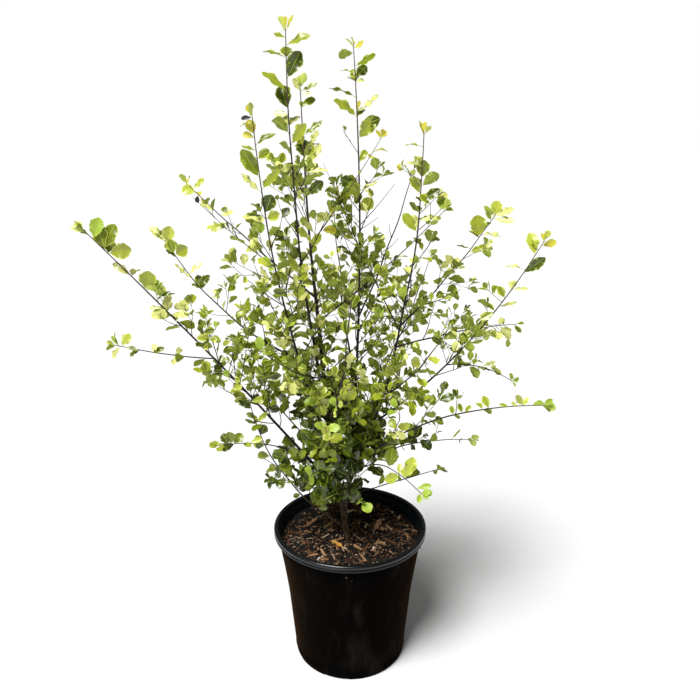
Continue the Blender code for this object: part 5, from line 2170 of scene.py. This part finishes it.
@dataclass
class PottingMix:
    """The bed of humus in the pot, with bark chips, fibres, grit and dead leaves on it."""

    top: float = SOIL_TOP
    flat_radius: float = 0.085
    edge_drop: float = 0.004
    edge_radius: float = 0.1400
    back_rise: float = 0.009
    side_section: Section = ((0.1290, 0.19), (0.1210, 0.125), (0.1108, 0.014), (0.1036, 0.0063))
    rings: int = 56
    segments: int = 150
    chips: int = 1250
    crumbs: int = 2500
    fibres: int = 130
    grit: int = 9
    chip_reach: float = 0.136
    fibre_reach: float = 0.125
    fibre_limit: float = 0.134
    dry_form: dict[str, float | tuple[float, float]] = field(
        default_factory=lambda: {"phases": (0.6, 3.4), "waves": 2.4, "petiole": 0.004}
    )

    def height(self, x: float, y: float) -> float:
        """The bed's height at a place: crumbly, level in the middle and lower at the wall.

        Args:
            x: How far right.
            y: How far back.

        Returns:
            The height.
        """
        radius = hypot(x, y)
        fall = self.edge_drop * max(0.0, radius - self.flat_radius) / (self.edge_radius - self.flat_radius)
        fall -= self.back_rise * min(1.0, max(0.0, y - 0.01) / 0.12) ** 1.5
        lumps = 0.0022 * noise.noise(Vector((38 * x, 38 * y, 3.1)))
        crumbs = 0.0016 * noise.noise(Vector((150 * x, 150 * y, 7.7)))
        fine = 0.0009 * noise.noise(Vector((420 * x, 420 * y, 1.3)))
        return self.top - fall + lumps + crumbs + fine - 0.0008

    def build_bed(self) -> None:
        """Makes the humus as a closed body that fills the pot."""
        angles = [2 * pi * step / self.segments for step in range(self.segments)]
        points = [(0.0, 0.0, self.height(0.0, 0.0))]
        for index in range(1, self.rings + 1):
            radius = self.edge_radius * index / self.rings
            for angle in angles:
                x, y = radius * cos(angle), radius * sin(angle)
                points.append((x, y, self.height(x, y)))
        for radius, height in self.side_section:
            points += [(radius * cos(angle), radius * sin(angle), height) for angle in angles]
        last = len(points)
        points.append((0.0, 0.0, height))
        faces = [[0, 1 + step, 1 + (step + 1) % self.segments] for step in range(self.segments)]
        for ring in range(self.rings + 3):
            first = 1 + ring * self.segments
            for step in range(self.segments):
                here, following = first + step, first + (step + 1) % self.segments
                faces.append([here, here + self.segments, following + self.segments, following])
        first = 1 + (self.rings + 3) * self.segments
        faces += [[first + (step + 1) % self.segments, first + step, last] for step in range(self.segments)]
        parts = MeshParts([np.array(points)], faces, [0] * len(faces), len(points))
        bed = parts.build("potting_mix_bed", [HumusFinish().material()])
        fitted_piece(bed, "potting_mix", "potting_mix")

    def chip(
        self,
        chance: random.Random,
        size: Triple,
        place: Triple | None = None,
    ) -> Array:
        """Eight corners of a rough splinter on the bed.

        Args:
            chance: The seeded chance.
            size: The splinter's length, width and thickness.
            place: Its x, y and yaw in degrees, where they aren't left to chance.

        Returns:
            The corners.
        """
        radius = self.chip_reach * sqrt(chance.random())
        bearing = chance.uniform(0, 2 * pi)
        x, y = radius * cos(bearing), radius * sin(bearing)
        yaw, pitch, roll = chance.uniform(0, FULL_TURN), chance.gauss(0, 0.30), chance.gauss(0, 0.40)
        if place:
            x, y, yaw, pitch = place[0], place[1], radians(place[2]), 0.12
        along = np.array([cos(yaw) * cos(pitch), sin(yaw) * cos(pitch), sin(pitch)])
        side = unit(np.cross(UP, along))
        face = np.cross(along, side)
        side, face = side * cos(roll) + face * sin(roll), face * cos(roll) - side * sin(roll)
        corners = []
        for end in (-1, 1):
            narrow = chance.uniform(0.35, 1.0)
            for across, up in ((-1, -1), (1, -1), (1, 1), (-1, 1)):
                jitter = [chance.uniform(0.75, 1.15) for _ in range(3)]
                corners.append(
                    along * end * size[0] / 2 * jitter[0]
                    + side * across * narrow * size[1] / 2 * jitter[1]
                    + face * up * size[2] / 2 * jitter[2]
                )
        lift = self.height(x, y) + 0.25 * size[2] + abs(sin(pitch)) * size[0] * 0.25
        return np.array(corners) + np.array([x, y, lift])

    def build_chips(self) -> None:
        """Makes the chips, crumbs and grit as one joined mesh."""
        chance = random.Random(f"{SEED} chips")
        box = np.array([[3, 2, 1, 0], [4, 5, 6, 7], [0, 1, 5, 4], [1, 2, 6, 5], [2, 3, 7, 6], [3, 0, 4, 7]])
        parts = MeshParts()
        weights = {CHAR: 0.44, UMBER: 0.26, RUST: 0.15, TAN: 0.11, BONE: 0.04}
        kinds = list(weights)
        for index in range(self.chips + self.crumbs):
            if index < self.chips:
                length = min(0.026, 0.0055 + chance.expovariate(1 / 0.0046))
                size = (length, length * chance.uniform(0.12, 0.32), length * chance.uniform(0.06, 0.14))
            else:
                length = chance.uniform(0.0016, 0.0042)
                size = (length, length * chance.uniform(0.4, 0.9), length * chance.uniform(0.3, 0.7))
            kind = chance.choices(kinds, list(weights.values()))[0]
            parts.add(self.chip(chance, size), box, kind.value)
        for _ in range(self.grit):
            size = chance.uniform(0.002, 0.004)
            parts.add(self.chip(chance, (size, size * 0.9, size * 0.8)), box, GRIT.value)
        for x, y, yaw, length, kind in PLACED_CHIPS:
            size = (length, min(0.34 * length, 0.0075), 0.0022)
            parts.add(self.chip(chance, size, (x, y, yaw)), box, kind.value)
        self.add_fibres(parts, chance)
        piece = parts.build("bark_chips", [finish.material() for finish in LITTER_FINISHES], smooth=False)
        fitted_piece(piece, "potting_mix", "potting_mix")

    def add_fibres(self, parts: MeshParts, chance: random.Random) -> None:
        """Adds thin bent fibres and twiglets that lie on the bed.

        Args:
            parts: The mesh that they join.
            chance: The seeded chance.
        """
        for _ in range(self.fibres):
            radius = self.fibre_reach * sqrt(chance.random())
            bearing, yaw = chance.uniform(0, FULL_TURN), chance.uniform(0, FULL_TURN)
            start = np.array([radius * cos(bearing), radius * sin(bearing), 0.0])
            length, curl = chance.uniform(0.008, 0.026), chance.uniform(-0.6, 0.6)
            points = [start]
            for step in range(6):
                angle = yaw + curl * step / 5
                points.append(points[-1] + length / 6 * np.array([cos(angle), sin(angle), 0.0]))
            points = [point for point in points if hypot(point[0], point[1]) < self.fibre_limit]
            if len(points) < 4:
                continue
            for index, point in enumerate(points):
                point[2] = self.height(point[0], point[1]) + 0.0018 + 0.0012 * sin(index)
            thick = chance.uniform(0.0003, 0.0007)
            rings, faces, _ = sweep(np.array(points), np.full(len(points), thick), 4)
            kind = chance.choice((RUST, TAN, TAN, BONE))
            parts.add(rings.reshape(-1, 3), faces, kind.value)

    def build_dead_leaves(self) -> None:
        """Makes the fallen leaves: a crumpled tan one and a narrow yellow piece."""
        mesher = BladeMesher()
        dry = {
            "fallen_tan": (srgb(158, 116, 84), srgb(222, 194, 156)),
            "fallen_amber": (srgb(196, 142, 56), srgb(210, 166, 92)),
        }
        forms = {
            "fallen_tan": [
                ((0.046, 0.004, 0.2605), 38, 0.030, 0.62, -1.2, 42, 0.14),
                ((0.054, 0.006, 0.2615), 12, 0.024, 0.60, 1.4, 38, 0.15),
                ((0.056, 0.016, 0.2625), 66, 0.017, 0.60, 1.5, 44, 0.14),
                ((0.050, -0.034, 0.2590), -20, 0.019, 0.60, 0.7, 26, 0.10),
                ((-0.030, 0.004, 0.2585), 150, 0.017, 0.50, 0.6, 30, 0.10),
            ],
            "fallen_amber": [
                ((-0.0415, -0.0265, 0.2590), -40, 0.0320, 0.30, 0.5, 16, 0.05),
            ],
        }
        for name, leaves in forms.items():
            parts = MeshParts()
            for foot, azimuth, length, breadth, droop, fold, wave in leaves:
                along = unit(compass(azimuth) + 0.18 * UP)
                face = unit(UP - (UP @ along) * along)
                form = {"droop": droop, "fold": radians(fold), "wave": wave, **self.dry_form}
                leaf = Leaf(np.array(foot), along, face, length, breadth, SHADE, **form)
                upper, normals = mesher.surface(leaf)
                parts.add(upper, mesher.quads, 0)
                parts.add(upper - normals * mesher.thickness, mesher.quads[:, ::-1], 1)
            materials = []
            for side, color in zip(("upper", "under"), dry[name]):
                recipe = Recipe(f"{name}_{side}")
                recipe.settle(Base_Color=(*color, 1.0), Roughness=0.7)
                recipe.relief(recipe.shared(grain_group(), Scale=500.0, Flatten=1.0), 0.6, 0.0008)
                materials.append(recipe.material)
            fitted_piece(parts.build(name, materials), "potting_mix", "potting_mix")

    def build(self) -> None:
        """Makes the bed and all that lies on it."""
        self.build_bed()
        self.build_chips()
        self.build_dead_leaves()


# Floor, light and camera


@dataclass
class Studio:
    """A pale floor, soft light and the photograph's camera."""

    floor_radius: float = 300.0
    camera_tilt: float = 73.4793
    lens: float = 34.15
    sensor: float = 36.0
    key_strength: float = 4.1
    key_angle: float = 26.0
    key_place: Triple = (-1.2, -1.6, 3.4)
    sky: float = 0.15
    backdrop: float = 1.0

    def build_floor(self) -> None:
        """Makes the floor, which isn't part of the object."""
        work = bmesh.new()
        bmesh.ops.create_circle(work, cap_ends=True, segments=96, radius=self.floor_radius)
        mesh = bpy.data.meshes.new("studio_floor")
        work.to_mesh(mesh)
        work.free()
        mesh.materials.append(FloorFinish().material())
        placed("studio_floor", mesh)

    def build_key(self) -> None:
        """Adds the wide soft key light, from above and in front on the left."""
        lamp = bpy.data.lights.new("key_light", "SUN")
        lamp.energy = self.key_strength
        lamp.angle = radians(self.key_angle)
        obj = placed("key_light", lamp)
        obj.location = self.key_place
        obj.rotation_euler = (-obj.location).to_track_quat("-Z", "Y").to_euler()

    def build_sky(self) -> None:
        """Gives the surroundings an even pale look and a softer light of their own."""
        world = bpy.data.worlds.new("pale_sky")
        world.use_nodes = True
        tree = world.node_tree
        background = tree.nodes["Background"]
        background.inputs["Color"].default_value = (1.0, 1.0, 1.0, 1.0)
        path = tree.nodes.new("ShaderNodeLightPath")
        strength = tree.nodes.new("ShaderNodeMapRange")
        strength.inputs["To Min"].default_value = self.sky
        strength.inputs["To Max"].default_value = self.backdrop
        tree.links.new(path.outputs["Is Camera Ray"], strength.inputs["Value"])
        tree.links.new(strength.outputs["Result"], background.inputs["Strength"])
        bpy.context.scene.world = world

    def build_camera(self) -> None:
        """Sets the camera at the photograph's angle and distance."""
        data = bpy.data.cameras.new("photo_camera")
        data.sensor_width = self.sensor
        data.lens = self.lens
        camera = placed("photo_camera", data)
        camera.location = EYE.tolist()
        camera.rotation_euler = (radians(self.camera_tilt), 0.0, 0.0)
        bpy.context.scene.camera = camera

    def build(self) -> None:
        """Makes the whole studio."""
        bpy.context.scene.view_settings.view_transform = "Standard"
        self.build_floor()
        self.build_key()
        self.build_sky()
        self.build_camera()


def clear_others() -> None:
    """Removes whatever a new file holds besides the solid model."""
    kept = {*frame["nodes"].values(), *frame["bodies"].values()}
    for obj in list(bpy.data.objects):
        if obj not in kept:
            bpy.data.objects.remove(obj)


def main() -> None:
    """Builds the studio, the pot, its mix, the limbs and the foliage."""
    logging.basicConfig(level=logging.INFO, format="%(message)s")
    clear_others()
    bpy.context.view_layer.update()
    Studio().build()
    lines = stem_lines()
    NurseryPot().build()
    PottingMix().build()
    Limbs(lines).build()
    Foliage(lines).build()


if __name__ == "__main__":
    main()
